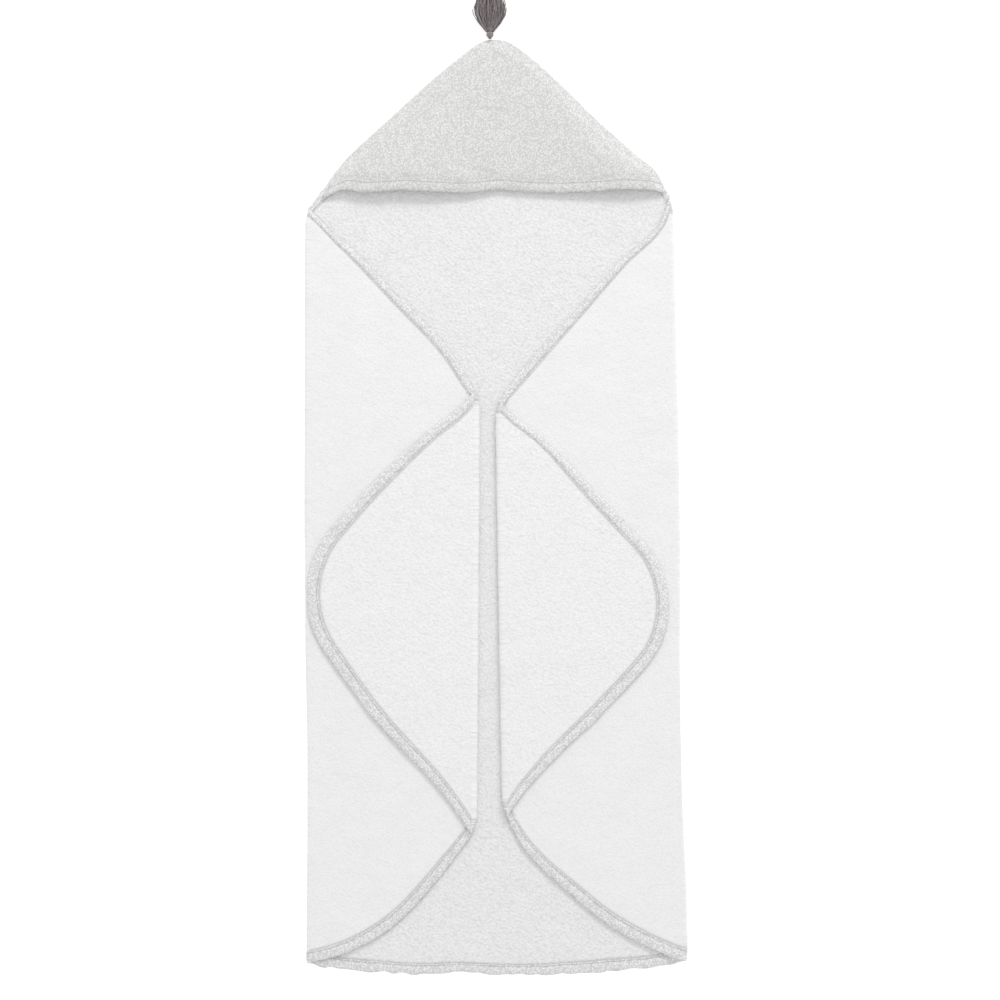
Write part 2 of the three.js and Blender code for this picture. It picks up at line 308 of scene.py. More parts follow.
def place_pattern():
    """The sewn edge in the row frame: the CAD says where the hem and the hood are."""
    edge = rounded_polygon(PATTERN) * MM
    hood_low, hood_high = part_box("hood_print_panel")
    hem_low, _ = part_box("hem_binding")
    edge[:, 0] += (hood_low.x + hood_high.x) / 2
    edge[:, 1] += hem_low.y - edge[:, 1].min()
    starts = arc_lengths(edge)
    even = np.linspace(0, starts[-1], int(starts[-1] / EDGE_STEP), endpoint=False)
    ring = np.vstack((edge, edge[:1]))
    edge = np.column_stack([np.interp(even, starts, ring[:, k]) for k in (0, 1)])
    stray = round_the_edge(STRAY, edge, arc_lengths(edge)[:-1])
    return edge - square_inward(edge) * (stray * MM)[:, None]


CUT = place_pattern()
COUNT = len(CUT)
SPANS = np.roll(CUT, -1, 0) - CUT
STARTS = arc_lengths(CUT)
LENGTHS = np.diff(STARTS)
TANGENTS = SPANS / LENGTHS[:, None]
INWARDS = np.column_stack((-TANGENTS[:, 1], TANGENTS[:, 0]))
CORNER_INWARDS = INWARDS + np.roll(INWARDS, 1, 0)
CORNER_INWARDS /= np.linalg.norm(CORNER_INWARDS, axis=1)[:, None]
MIDDLE_X = sum(v.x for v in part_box("hood_print_panel")) / 2


def on_edge(s):
    """The places on the cut edge at arc lengths s, and the directions inward from there."""
    s = np.mod(s, STARTS[-1])
    i = np.clip(np.searchsorted(STARTS, s, "right") - 1, 0, COUNT - 1)
    share = ((s - STARTS[i]) / LENGTHS[i])[:, None]
    point = CUT[i] + SPANS[i] * share
    inward = CORNER_INWARDS[i] * (1 - share) + CORNER_INWARDS[(i + 1) % COUNT] * share
    return point, inward / np.linalg.norm(inward, axis=1)[:, None]


def edge_distance(points):
    """How far each place is from the cut edge, and the arc length of the nearest place on it."""
    best = np.full(len(points), 1e9)
    where = np.zeros(len(points))
    for i in range(COUNT):
        along = np.clip((points - CUT[i]) @ TANGENTS[i], 0, LENGTHS[i])
        gap = np.linalg.norm(points - CUT[i] - along[:, None] * TANGENTS[i], axis=1)
        nearer = gap < best
        best[nearer] = gap[nearer]
        where[nearer] = STARTS[i] + along[nearer]
    return best, where


def binding_share(arc):
    return BINDING_FULL * round_the_edge(BINDING_SHARE, CUT, arc)


def inset(distance):
    """The cut edge moved in by a distance, or by one for each of its points."""
    lean = np.sum(CORNER_INWARDS * INWARDS, axis=1)
    return CUT + CORNER_INWARDS * (distance / lean)[:, None]


# How far the cloth bulges past each fold, as a share of a round bend: places from the fold's
# lower end (0) to its upper end (1), then the shares at the two ends, where the binding is tight.
BULGES = {
    ("left", "outer"): (
        [(0, 0.7), (0.2, 0.36), (0.3, 0.4), (0.4, 0.9), (0.5, 1.1), (1, 1.1)], 0.6, 0.1,
    ),
    ("left", "centre"): ([(0, 1.6), (1, 1.6)], 0.0, 0.3),
    ("right", "outer"): (
        [(0, 1.1), (0.1, 1), (0.2, 0.4), (0.38, 0.4), (0.5, 1), (1, 1.1)], 0.8, 0.1,
    ),
    ("right", "centre"): ([(0, 1.5), (1, 1.6)], 0.0, 0.2),
}
TIGHT_REACH = 15 * MM
ROUND_TO = 0.9 * MM  # how far from a bend's middle line the cloth stays on a round bend
ROUND_FADE = 1.2 * MM  # and over what distance beyond that it comes to bulge in full
FOLD_ENDS = {}
for side in SIDES:
    for fold in ("outer", "centre"):
        line = getattr(side, fold)
        high, low = on_edge(np.array(crossings(CUT, line)))[0]
        FOLD_ENDS[side.name, fold] = [float((x - line.point) @ line.direction) for x in (low, high)]


def bulge(side, fold, p):
    """How much the bend bulges at flat places p beside one fold."""
    line = getattr(side, fold)
    table, at_low, at_high = BULGES[side.name, fold]
    low, high = FOLD_ENDS[side.name, fold]
    along = (p - line.point) @ line.direction
    share = smooth_curve(table, (along - low) / (high - low))[:, 0]
    for from_end, tight in ((along - low, at_low), (high - along, at_high)):
        near = 1 - smoothstep(from_end / TIGHT_REACH)
        share = share + (tight - share) * near
    return share


def folded(side, p, q, h):
    """Places in the row frame at rest, for flat places p, folds q and heights h off the middle."""
    p, q, h = np.asarray(p, float), np.asarray(q, float), np.asarray(h, float)
    out = np.empty((len(p), 3))
    once = side.outer.reflect(p)
    twice = side.centre_folded.reflect(once)
    away = side.outer.normal(side.out)
    towards = side.centre_folded.normal(-side.out)
    phi = np.mod(q, 1) * math.pi

    flat = q <= 0
    out[flat, :2] = p[flat]
    out[flat, 2] = BACK_MIDDLE + h[flat]

    bend = (q > 0) & (q < 1)
    rho = side.bend - h[bend]
    # The bend's inner face stays round, so that it closes up when the side is opened out.
    outermost = smoothstep((rho - ROUND_TO) / ROUND_FADE)
    reach = (1 + (bulge(side, "outer", p[bend]) - 1) * outermost) * rho * np.sin(phi[bend])
    out[bend, :2] = p[bend] + away * reach[:, None]
    out[bend, 2] = side.outer_hinge.z - rho * np.cos(phi[bend])

    inner = q == 1
    out[inner, :2] = once[inner]
    out[inner, 2] = side.outer_hinge.z + side.bend - h[inner]

    bend = (q > 1) & (q < 2)
    rho = side.bend + h[bend]
    reach = bulge(side, "centre", p[bend]) * rho * np.sin(phi[bend])
    out[bend, :2] = once[bend] + towards * reach[:, None]
    out[bend, 2] = side.centre_hinge.z - rho * np.cos(phi[bend])

    outer = q >= 2
    out[outer, :2] = twice[outer]
    out[outer, 2] = side.centre_hinge.z + side.bend + h[outer]
    return out


# ------------------------------------------------------------------ meshes

FLOOR_HEIGHT = 0.02 * MM  # nothing lies lower than this


def mesh_object(name, points, faces, flat=None, materials=(), face_materials=None, sharp=40,
                seam=None):
    """A smooth-shaded mesh. flat gives each point's place on the pattern, for the materials,
    and seam says how much painted shade it takes in a stitched crease, from 0 to 1."""
    mesh = bpy.data.meshes.new(name)
    points = np.array(points, float)
    points[:, 2] = np.maximum(points[:, 2], FLOOR_HEIGHT)
    mesh.from_pydata(points.tolist(), [], faces)
    for material in materials:
        mesh.materials.append(material)
    if face_materials is not None:
        mesh.polygons.foreach_set("material_index", np.asarray(face_materials, np.int32))
    mesh.polygons.foreach_set("use_smooth", np.ones(len(mesh.polygons), bool))
    if flat is not None:
        layer = mesh.uv_layers.new(name="Pattern")
        corner = np.empty(len(mesh.loops), np.int32)
        mesh.loops.foreach_get("vertex_index", corner)
        layer.data.foreach_set("uv", np.asarray(flat, np.float32)[corner].ravel())
    # The weights of painted shade in stitched creases, which the materials darken by.
    if seam is not None:
        crease_shade = mesh.attributes.new("Seam", "FLOAT", "POINT")
        crease_shade.data.foreach_set("value", np.asarray(seam, np.float32))
    mesh.validate()
    mesh.update()
    obj = bpy.data.objects.new(name, mesh)
    bpy.context.scene.collection.objects.link(obj)
    if sharp:
        mesh.set_sharp_from_angle(angle=math.radians(sharp))
    return obj


def set_blend(obj, parent, child, hinge, weights):
    """obj bends across one fold: each point turns by its own share of the fold's angle."""
    half = Vector((0, 0, LEFT.bend))
    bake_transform(obj, parent, child, start=hinge - half, end=hinge + half)
    attribute = obj.data.attributes["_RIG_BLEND"]
    attribute.data.foreach_set("value", np.asarray(weights, np.float32))


# ------------------------------------------------------------------ materials

def material(name, roughness=0.9, sheen=0.0):
    made = bpy.data.materials.new(name)
    made.use_nodes = True
    shader = made.node_tree.nodes["Principled BSDF"]
    shader.inputs["Roughness"].default_value = roughness
    shader.inputs["Specular IOR Level"].default_value = 0.2
    shader.inputs["Sheen Weight"].default_value = sheen
    shader.inputs["Sheen Roughness"].default_value = 0.6
    return made, made.node_tree, shader


class Nodes:
    """Short names for the nodes that the cloth materials share."""

    def __init__(self, tree):
        self.tree = tree

    def link(self, a, b):
        self.tree.links.new(a, b)

    def pattern(self):
        node = self.tree.nodes.new("ShaderNodeUVMap")
        node.uv_map = "Pattern"
        return node.outputs["UV"]

    def noise(self, vector, scale, detail=2.0, roughness=0.5):
        node = self.tree.nodes.new("ShaderNodeTexNoise")
        node.inputs["Scale"].default_value = scale
        node.inputs["Detail"].default_value = detail
        node.inputs["Roughness"].default_value = roughness
        self.link(vector, node.inputs["Vector"])
        return node.outputs["Fac"]

    def cells(self, vector, scale, feature="F1", randomness=1.0):
        node = self.tree.nodes.new("ShaderNodeTexVoronoi")
        node.feature = feature
        node.inputs["Scale"].default_value = scale
        node.inputs["Randomness"].default_value = randomness
        self.link(vector, node.inputs["Vector"])
        return node.outputs["Distance"]

    def ramp(self, value, stops):
        node = self.tree.nodes.new("ShaderNodeValToRGB")
        elements = node.color_ramp.elements
        while len(elements) < len(stops):
            elements.new(0.5)
        for element, (at, colour) in zip(elements, stops):
            element.position = at
            element.color = (*colour, 1)
        self.link(value, node.inputs["Fac"])
        return node.outputs["Color"]

    def math(self, operation, a, b):
        node = self.tree.nodes.new("ShaderNodeMath")
        node.operation = operation
        for socket, value in zip(node.inputs, (a, b)):
            if isinstance(value, (int, float)):
                socket.default_value = value
            else:
                self.link(value, socket)
        return node.outputs["Value"]

    def multiply(self, a, b):
        node = self.tree.nodes.new("ShaderNodeMix")
        node.data_type = "RGBA"
        node.blend_type = "MULTIPLY"
        node.inputs["Factor"].default_value = 1
        self.link(a, node.inputs[6])
        self.link(b, node.inputs[7])
        return node.outputs[2]

    def painted_crease_shade(self, colour, share):
        """The colour, darker by this share: painted shade in a stitched crease."""
        node = self.tree.nodes.new("ShaderNodeAttribute")
        node.attribute_name = "Seam"
        shade = self.ramp(node.outputs["Fac"], [(0, grey(1)), (1, grey(1 - share))])
        return self.multiply(colour, shade)

    def bump(self, height, distance, strength=1.0, normal=None):
        node = self.tree.nodes.new("ShaderNodeBump")
        node.inputs["Distance"].default_value = distance
        node.inputs["Strength"].default_value = strength
        self.link(height, node.inputs["Height"])
        if normal is not None:
            self.link(normal, node.inputs["Normal"])
        return node.outputs["Normal"]


def grey(value, warmth=0.0):
    return (value * (1 + warmth), value, value * (1 - warmth))


def terry_material(name, tone, gap_shade, loops, depth):
    """Looped pile: each loop is a small mound, with painted shade in the hollows between loops."""
    made, tree, shader = material(name, roughness=0.95, sheen=0.25)
    n = Nodes(tree)
    place = n.pattern()
    loop = n.cells(place, loops, "SMOOTH_F1")
    yarn = n.noise(place, loops * 2.3, detail=3, roughness=0.6)
    nap = n.noise(place, 38, detail=4, roughness=0.6)
    # Painted shade: the colour is darker between the loops, where shade falls in the pile.
    loop_shade = n.ramp(loop, [(0.15, grey(tone)), (0.75, grey(tone * (1 - gap_shade)))])
    drift = n.ramp(nap, [(0.3, grey(0.975)), (0.7, grey(1.0))])
    # Also painted shade in the crease along the binding's stitching.
    n.link(n.painted_crease_shade(n.multiply(loop_shade, drift), 0.30), shader.inputs["Base Color"])
    mound = n.math("SUBTRACT", 1.0, loop)
    rough = n.math("ADD", mound, n.math("MULTIPLY", yarn, 0.6))
    soft = n.bump(nap, 3 * MM, 0.35)
    n.link(n.bump(rough, depth, 0.8, soft), shader.inputs["Normal"])
    return made


def print_material(name, ground, spot, size, wrinkle, warmth=0.0):
    """Woven cotton with a small, dense all-over speckle, light spots on a grey ground."""
    made, tree, shader = material(name, roughness=0.85, sheen=0.1)
    n = Nodes(tree)
    place = n.pattern()
    spots = n.cells(place, 1 / size, "F1", 0.8)
    flecks = n.noise(place, 2.8 / size, 2, 0.6)
    ragged = n.math("ADD", spots, n.math("MULTIPLY", flecks, 0.7))
    figure = n.ramp(ragged, [(0.60, grey(spot, warmth)), (0.97, grey(ground, warmth))])
    fade = n.ramp(n.noise(place, 30, 3), [(0.3, grey(0.97)), (0.7, grey(1.0))])
    # Painted shade in stitched creases and along a binding's inner border, where the mesh gives the weights.
    n.link(n.painted_crease_shade(n.multiply(figure, fade), 0.28), shader.inputs["Base Color"])
    weave = n.noise(place, 1900, detail=1)
    creases = n.noise(place, 95, detail=3, roughness=0.55)
    soft = n.bump(creases, wrinkle, 0.5)
    n.link(n.bump(weave, 0.15 * MM, 0.5, soft), shader.inputs["Normal"])
    return made


def yarn_material(name, dark, light, variety=0.0):
    """Twisted yarn. variety is how much darker some of its strands are than others."""
    made, tree, shader = material(name, roughness=0.8, sheen=0.3)
    n = Nodes(tree)
    place = n.pattern()
    fibres = n.noise(place, 900, detail=3, roughness=0.6)
    strand = n.ramp(n.noise(place, 9, detail=1), [(0.35, grey(1 - variety)), (0.65, grey(1))])
    yarn = n.ramp(fibres, [(0.3, dark), (0.7, light)])
    n.link(n.multiply(yarn, strand), shader.inputs["Base Color"])
    n.link(n.bump(fibres, 0.25 * MM, 0.7), shader.inputs["Normal"])
    return made


TERRY_INNER = terry_material("terry_inner_face", 0.932, gap_shade=0.135, loops=520, depth=0.9 * MM)
TERRY_OUTER = terry_material("terry_outer_face", 0.926, gap_shade=0.06, loops=640, depth=0.45 * MM)
# The outer flaps' upper face: the same inner face of the terry, painted lighter and with less painted shade
# between its loops: painted light on the top layer.
TERRY_FLAP_PAINTED_LIGHTER = terry_material("terry_flap_face_painted_lighter", 0.948, gap_shade=0.09, loops=520, depth=0.7 * MM)
PRINT = print_material("hood_print", 0.635, 0.855, 1.55 * MM, 1.2 * MM, warmth=0.006)
BINDING = print_material("binding_print", 0.68, 0.95, 1.6 * MM, 0.9 * MM)
HOOD_BINDING = print_material("hood_binding_print", 0.62, 0.86, 1.55 * MM, 0.9 * MM, warmth=0.006)
THREAD = yarn_material("sewing_thread", grey(0.56), grey(0.66))
# Its light fibres are as light as the strands' highlights: partly the yarn's own lighter fibres, partly
# painted highlight.
YARN = yarn_material("tassel_yarn", (0.155, 0.128, 0.130), (0.46, 0.395, 0.40), variety=0.68)
# The same yarn as the strands, painted lighter for the knot's winding and the loop: painted highlight.
KNOT_PAINTED_LIGHTER = yarn_material("tassel_knot_yarn_painted_lighter", (0.25, 0.21, 0.21), (0.50, 0.44, 0.44), variety=0.3)


# ------------------------------------------------------------------ terry

def clip(polygon, line, towards, offset=0.0):
    """The part of an outline on one side of a line, or of a line beside it."""
    kept = []
    for a, b in spans(polygon):
        da, db = (float(line.beyond(x, towards)) - offset for x in (a, b))
        if da >= 0:
            kept.append(a)
        if da * db < 0:
            kept.append(a + (b - a) * (da / (da - db)))
    return np.array(kept)


def divided(a, b):
    """Evenly spaced places from a to b, without b."""
    steps = max(1, math.ceil(float(np.linalg.norm(b - a)) / GRID - 1e-6))
    return [a + (b - a) * k / steps for k in range(steps)]


def clearance(polygon, points):
    """How far each point is inside a closed outline, or below 0 outside it."""
    nearest = np.full(len(points), 1e9)
    inside = np.zeros(len(points), bool)
    for a, b in spans(polygon):
        along, size = b - a, float(np.linalg.norm(b - a))
        if size < 1e-7:
            continue
        share = np.clip((points - a) @ along / size ** 2, 0, 1)
        nearest = np.minimum(nearest, np.linalg.norm(points - a - share[:, None] * along, axis=1))
        if a[1] != b[1]:
            level = (a[1] > points[:, 1]) != (b[1] > points[:, 1])
            x = a[0] + (points[:, 1] - a[1]) / (b[1] - a[1]) * (b[0] - a[0])
            inside ^= level & (points[:, 0] < x)
    return np.where(inside, nearest, -nearest)


# How far in from the edge the cloth has rings of points, where the binding is at full width.
RINGS = [d * MM for d in (8.4, 9.5, 10.2, 10.9, 11.8, 13.4, 16.2)]
ROW_PITCH = GRID * 0.87  # rows of points that make nearly even triangles


def patch(polygon):
    """Points and triangles that fill a part of the pattern, finer beside the binding."""
    rim = []
    for a, b in spans(polygon):
        if np.linalg.norm(b - a) > 1e-6:
            rim += divided(a, b)
    low, high = polygon.min(0), polygon.max(0)
    rows = int((high[1] - low[1]) / ROW_PITCH) + 1
    columns = int((high[0] - low[0]) / GRID) + 1
    i, j = np.meshgrid(np.arange(columns), np.arange(rows))
    x = low[0] + (i + (j % 2) * 0.5) * GRID
    y = low[1] + j * GRID * 0.87
    grid = np.column_stack((x.ravel(), y.ravel()))
    rng = np.random.default_rng(11)
    grid += rng.uniform(-0.18, 0.18, grid.shape) * GRID
    grid = grid[clearance(polygon, grid) > GRID * 0.55]
    grid = grid[edge_distance(grid)[0] > RINGS[-1] + GRID * 0.6]
    shares = binding_share(STARTS[:-1])
    rings = []
    for distance in RINGS:
        ring = inset(distance * (shares if distance < RINGS[-1] else 1))
        for a, b in spans(ring):
            if np.linalg.norm(b - a) > 1e-6:
                rings += divided(a, b)
    rings = np.array(rings)
    rings = rings[clearance(polygon, rings) > GRID * 0.3]
    points = [Vector(p) for p in rim] + [Vector(p) for p in np.vstack((grid, rings))]
    edges = [(k, (k + 1) % len(rim)) for k in range(len(rim))]
    made, _, faces, *_ = delaunay_2d_cdt(points, edges, [], 1, 1e-7)
    return np.array([tuple(v) for v in made]), faces


class Cloth:
    """Flat places with their fold values, joined from patches and from the bends between them."""

    def __init__(self):
        self.keys = {}
        self.places = []
        self.folds = []
        self.faces = []

    def vertex(self, p, q):
        key = (round(p[0] * 1e6), round(p[1] * 1e6), round(q * 1e3))
        if key not in self.keys:
            self.keys[key] = len(self.places)
            self.places.append((float(p[0]), float(p[1])))
            self.folds.append(float(q))
        return self.keys[key]

    def add_patch(self, polygon, q):
        points, faces = patch(polygon)
        index = [self.vertex(p, q) for p in points]
        for face in faces:
            turned = [index[k] for k in face]
            if len(set(turned)) == len(turned):
                self.faces.append(turned)

    def add_bend(self, a, b, q, steps=10):
        """The cloth round a fold, from q to q + 1, along the fold line from a to b."""
        line = divided(a, b) + [b]
        rows = [[self.vertex(p, q + k / steps) for p in line] for k in range(steps + 1)]
        for near, far in zip(rows, rows[1:]):
            for k in range(len(line) - 1):
                self.faces.append([near[k], near[k + 1], far[k + 1], far[k]])

    def arrays(self):
        return np.array(self.places), np.array(self.folds)


def fold_ends(line, polygon):
    """The lowest and the highest place where a fold line crosses an outline."""
    found = []
    for a, b in spans(polygon):
        da, db = (float(line.beyond(x, 1)) for x in (a, b))
        if da * db < 0:
            found.append(a + (b - a) * (da / (da - db)))
    found.sort(key=lambda p: p[1])
    return found[0], found[-1]


lumps = waves(1, 9 * MM)
swells = waves(2, 46 * MM)
puckers = waves(3, 8.5 * MM)
LUMP_DEPTH, SWELL_DEPTH, PUCKER_DEPTH = 0.16 * MM, 0.22 * MM, 0.34 * MM
# Distances in from the edge, where the binding shows at full width.
PRESSED_TO, RISE = 10.0 * MM, 2.2 * MM  # where the cloth starts to rise, and how soon it is full
# Painted shade lies in the crease along the stitching: where it peaks, and how far it reaches.
CREASE_SHADE_AT, CREASE_SHADE_REACH = 10.7 * MM, 0.9 * MM  # the crease along the stitching
PUCKERED_TO, PUCKER_FADE = 12 * MM, 9 * MM  # how far in the stitching puckers the cloth
HOOD_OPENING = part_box("hood_edge_binding")[0].y
UNDER_HOOD_FADE = 6 * MM


def terry_height(places, under_hood):
    """Half the thickness at each place: pressed inside the binding, full beyond it. Also how
    much painted shade the place takes in the crease along the binding's stitching."""
    distance, arc = edge_distance(places)
    past = distance / binding_share(arc)
    pressed = 1 - smoothstep((past - PRESSED_TO) / RISE)
    # Painted shade: a narrow line of it in the terry just beyond the binding's inner border.
    crease_shade = np.exp(-((past - CREASE_SHADE_AT) / CREASE_SHADE_REACH) ** 2)
    if under_hood:
        covered = smoothstep((places[:, 1] - HOOD_OPENING) / UNDER_HOOD_FADE)
        pressed *= 1 - covered
        crease_shade *= 1 - covered
    full = TERRY_HALF * np.ones(len(places))
    full -= LUMP_DEPTH * (1 + lumps(places[:, 0], places[:, 1])) / 2
    full -= SWELL_DEPTH * (1 + swells(places[:, 0], places[:, 1])) / 2
    near = np.exp(-np.clip(distance - PUCKERED_TO, 0, None) / PUCKER_FADE)
    full -= PUCKER_DEPTH * near * (1 + puckers(arc, distance * 0.25)) / 2
    return full * (1 - pressed) + PRESSED_HALF * pressed, crease_shade


def open_edges(faces):
    """The edges that only one face uses, in that face's order."""
    used = {edge for face in faces for edge in zip(face, face[1:] + face[:1])}
    return [(a, b) for a, b in sorted(used) if (b, a) not in used]


def closed_faces(faces, count):
    """These faces, the same on a second layer of points behind them, and walls between."""
    back = [[v + count for v in reversed(face)] for face in faces]
    return faces + back + [[b, a, a + count, b + count] for a, b in open_edges(faces)]


def cloth_object(name, side, cloth, under_hood=False, inner_face=TERRY_INNER):
    """A closed sheet with an inner face (h above 0) and an outer face (h below 0)."""
    places, q = cloth.arrays()
    half, crease_shade = terry_height(places, under_hood)
    top = folded(side, places, q, half)
    bottom = folded(side, places, q, -half)
    faces = closed_faces(cloth.faces, len(places))
    kinds = [0] * len(cloth.faces) + [1] * (len(faces) - len(cloth.faces))
    obj = mesh_object(
        name,
        np.vstack((top, bottom)),
        faces,
        flat=np.vstack((places, places)),
        materials=(inner_face, TERRY_OUTER),
        face_materials=kinds,
        seam=np.concatenate((crease_shade, crease_shade)),
    )
    return obj, np.concatenate((q, q))


def flat_area(polygon):
    x, y = polygon[:, 0], polygon[:, 1]
    return abs(float(np.sum(x * np.roll(y, -1) - np.roll(x, -1) * y))) / 2


INNER_EDGE = inset(EDGE_INSET)


def back_terry():
    polygon = clip(INNER_EDGE, LEFT.outer, 1, SPLIT)
    polygon = clip(polygon, RIGHT.outer, -1, SPLIT)
    cloth = Cloth()
    cloth.add_patch(polygon, 0)
    obj, _ = cloth_object("terry_back", LEFT, cloth, under_hood=True)
    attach(obj, "towel_back")
    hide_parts("back_panel")
    return obj, polygon


def flap_terry(side, part):
    """One half of a side: a strip beside its fold, the bend, and the flap beyond."""
    inner = part == "inner"
    fold, hinge = (side.outer, side.outer_hinge) if inner else (side.centre, side.centre_hinge)
    parent, before = ("towel_back", 0) if inner else (f"{side.name}_inner", 1)
    strip = clip(clip(INNER_EDGE, fold, -side.out), fold, side.out, -SPLIT)
    flap = clip(INNER_EDGE, fold, side.out)
    if inner:
        flap = clip(flap, side.centre, -side.out, SPLIT)
    ends = fold_ends(fold, INNER_EDGE)
    cloth = Cloth()
    cloth.add_patch(strip, before)
    cloth.add_bend(*ends[::-side.out], before)
    cloth.add_patch(flap, before + 1)
    face = TERRY_INNER if inner else TERRY_FLAP_PAINTED_LIGHTER
    obj, q = cloth_object(f"terry_{side.name}_{part}", side, cloth, inner_face=face)
    set_blend(obj, parent, f"{side.name}_{part}", hinge, np.clip(q - before, 0, 1))
    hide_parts(f"{side.name}_{part}_flap")
    return obj, np.vstack((strip, flap)), flat_area(strip) + flat_area(flap)


# ------------------------------------------------------------------ the edge binding

def edge_at_opening(side):
    """The arc length at which one side's cut edge meets the hood's opening."""
    found = crossings(CUT, Line((MIDDLE_X, HOOD_OPENING), (1, 0)))
    places, _ = on_edge(np.array(found))
    return found[int(np.argmax(places[:, 0] * side.out))]


SHEAR_REACH = 24 * MM  # how far from a fold the binding's sections still lean along it
STEP = 1.5 * MM  # between the binding's stations
BEND_STEP = 0.7 * MM  # and round a fold
BEND_ROOM = 1.6  # length allowed for a bend, as a share of a round one


class Run:
    """A length of the binding as stations: place on the edge, direction inward, fold value."""

    def __init__(self, side, legs):
        """legs is a list of (arc from, arc to, q from, q to); one of the pairs is constant."""
        arcs, folds = [], []
        for a, b, qa, qb in legs:
            length = abs(b - a) if qa == qb else math.pi * side.bend * BEND_ROOM
            steps = max(2, math.ceil(length / (STEP if qa == qb else BEND_STEP)))
            for k in range(steps + 1):
                share = k / steps
                if arcs and k == 0:
                    continue
                arcs.append(a + (b - a) * share)
                folds.append(qa + (qb - qa) * share)
        self.side = side
        self.arc = np.array(arcs)
        self.q = np.array(folds)
        self.point, inward = on_edge(self.arc)
        tangent = np.column_stack((inward[:, 1], -inward[:, 0]))
        lean = np.zeros(len(arcs))
        for line in (side.outer, side.centre):
            for crossing in crossings(CUT, line):
                near = 1 - smoothstep(np.abs(self.arc - crossing) / SHEAR_REACH)
                _, square = on_edge(np.array([crossing]))
                along = np.array((square[0][1], -square[0][0]))
                direction = line.direction * np.sign(line.direction @ square[0])
                lean += near * (direction @ along) / (direction @ square[0])
        self.inward = inward + tangent * lean[:, None]
        self.share = binding_share(self.arc)
        moved = np.linalg.norm(np.diff(self.point, axis=0), axis=1)
        turned = np.abs(np.diff(self.q)) * math.pi * side.bend
        self.along = np.concatenate(([0], np.cumsum(moved + turned)))

    def places(self, stations, depth):
        return self.point[stations] + self.inward[stations] * depth[:, None]


# A section of the binding: depth in from the edge and height off the cloth's middle, in
# millimetres, from its upper inner border round the edge to its lower one, and back inside.
SECTION_OVER = [
    (10.2, 0.90), (9.8, 1.16), (9.2, 1.20), (8.5, 0.92), (7.8, 1.22), (7.0, 1.40), (6.0, 1.48),
    (4.8, 1.48), (3.6, 1.42), (2.5, 1.28), (1.6, 1.08), (0.8, 0.80), (0.25, 0.44), (0.0, 0.0),
]
SECTION = (
    SECTION_OVER
    + [(d, -h) for d, h in reversed(SECTION_OVER[:-1])]
    + [(9.6, -0.86), (5.0, -0.86), (1.3, -0.86), (1.0, 0.0), (1.3, 0.86), (5.0, 0.86), (9.6, 0.86)]
)
OUTER_COUNT = 2 * len(SECTION_OVER) - 1

gathers = waves(5, 6.5 * MM)
creases = waves(6, 11 * MM)
edge_wander = waves(7, 34 * MM)
ruffle = waves(8, 15 * MM)
GATHER_HEIGHT, CREASE_HEIGHT = 0.17 * MM, 0.13 * MM
BINDING_MIDDLE, BINDING_HALF = 5.4 * MM, 5.2 * MM  # where the gathers are highest, and their reach
HEM_LOW, HEM_FADE = 14 * MM, 30 * MM  # how far up from the hem it is ruffled, and how that fades
RIM_WANDER, RIM_RUFFLE = 0.35 * MM, 0.20 * MM  # how far the binding's outer edge strays
HEM_WANDER, HEM_RUFFLE = 0.5 * MM, 0.75 * MM  # and how much further along the hem
BORDER_WANDER, BORDER_RUFFLE = 0.30 * MM, 0.25 * MM  # and its inner border
BORDER_FROM = 8 * MM  # how far in the inner border starts
RIM_FADE = 11 * MM  # how far in the outer edge's straying is no longer felt
BINDING_AIR = 0.10 * MM  # the least gap between the binding and a fold's centre line


def hem_share(points):
    """1 on the hem, falling to 0 up the sides: the hem's binding is the more ruffled."""
    low = CUT[:, 1].min()
    return 1 - smoothstep((points[:, 1] - low - HEM_LOW) / HEM_FADE)


def binding_shape(run):
    """D and H: the depth and height of every section point at every station, with gathers and
    ruffles."""
    depth = np.array([d for d, _ in SECTION]) * MM
    height = np.array([h for _, h in SECTION]) * MM
    stations = len(run.arc)
    D = np.tile(depth, (stations, 1)) * run.share[:, None]
    H = np.tile(height, (stations, 1))
    arc = run.arc[:, None]
    outer = np.arange(len(SECTION)) < OUTER_COUNT
    ruffled = hem_share(run.point)[:, None]
    middle = np.clip(1 - ((depth - BINDING_MIDDLE) / BINDING_HALF) ** 2, 0, 1)
    sign = np.sign(H)
    slanted = arc + D * 0.9 * np.where(H >= 0, 1, -1)
    gather = GATHER_HEIGHT * gathers(slanted, D * 0.3)
    gather += CREASE_HEIGHT * creases(slanted * 0.8, D * 0.2)
    gather *= 1 + 0.9 * ruffled
    H += np.where(outer, sign * (gather * middle - 0.10 * MM * middle), 0)
    rim = RIM_WANDER * edge_wander(arc, 0) + RIM_RUFFLE * ruffle(arc, 0)
    rim = rim + ruffled * (HEM_RUFFLE * ruffle(arc, 7) + HEM_WANDER * edge_wander(arc, 3))
    D += np.where(outer, rim * (1 - depth / RIM_FADE), 0)
    border = BORDER_WANDER * edge_wander(arc, 11) + BORDER_RUFFLE * ruffle(arc, 5)
    D += np.where(outer & (depth > BORDER_FROM), border, 0)
    limit = run.side.bend - BINDING_AIR
    return D, np.clip(H, -limit, limit)


def channel_faces(stations, across):
    """Faces of a body made of closed sections, with an end face on the first and the last."""
    faces = [list(range(across - 1, -1, -1))]
    for i in range(stations - 1):
        for j in range(across):
            a, b = i * across + j, i * across + (j + 1) % across
            faces.append([a, b, b + across, a + across])
    return faces + [[(stations - 1) * across + j for j in range(across)]]


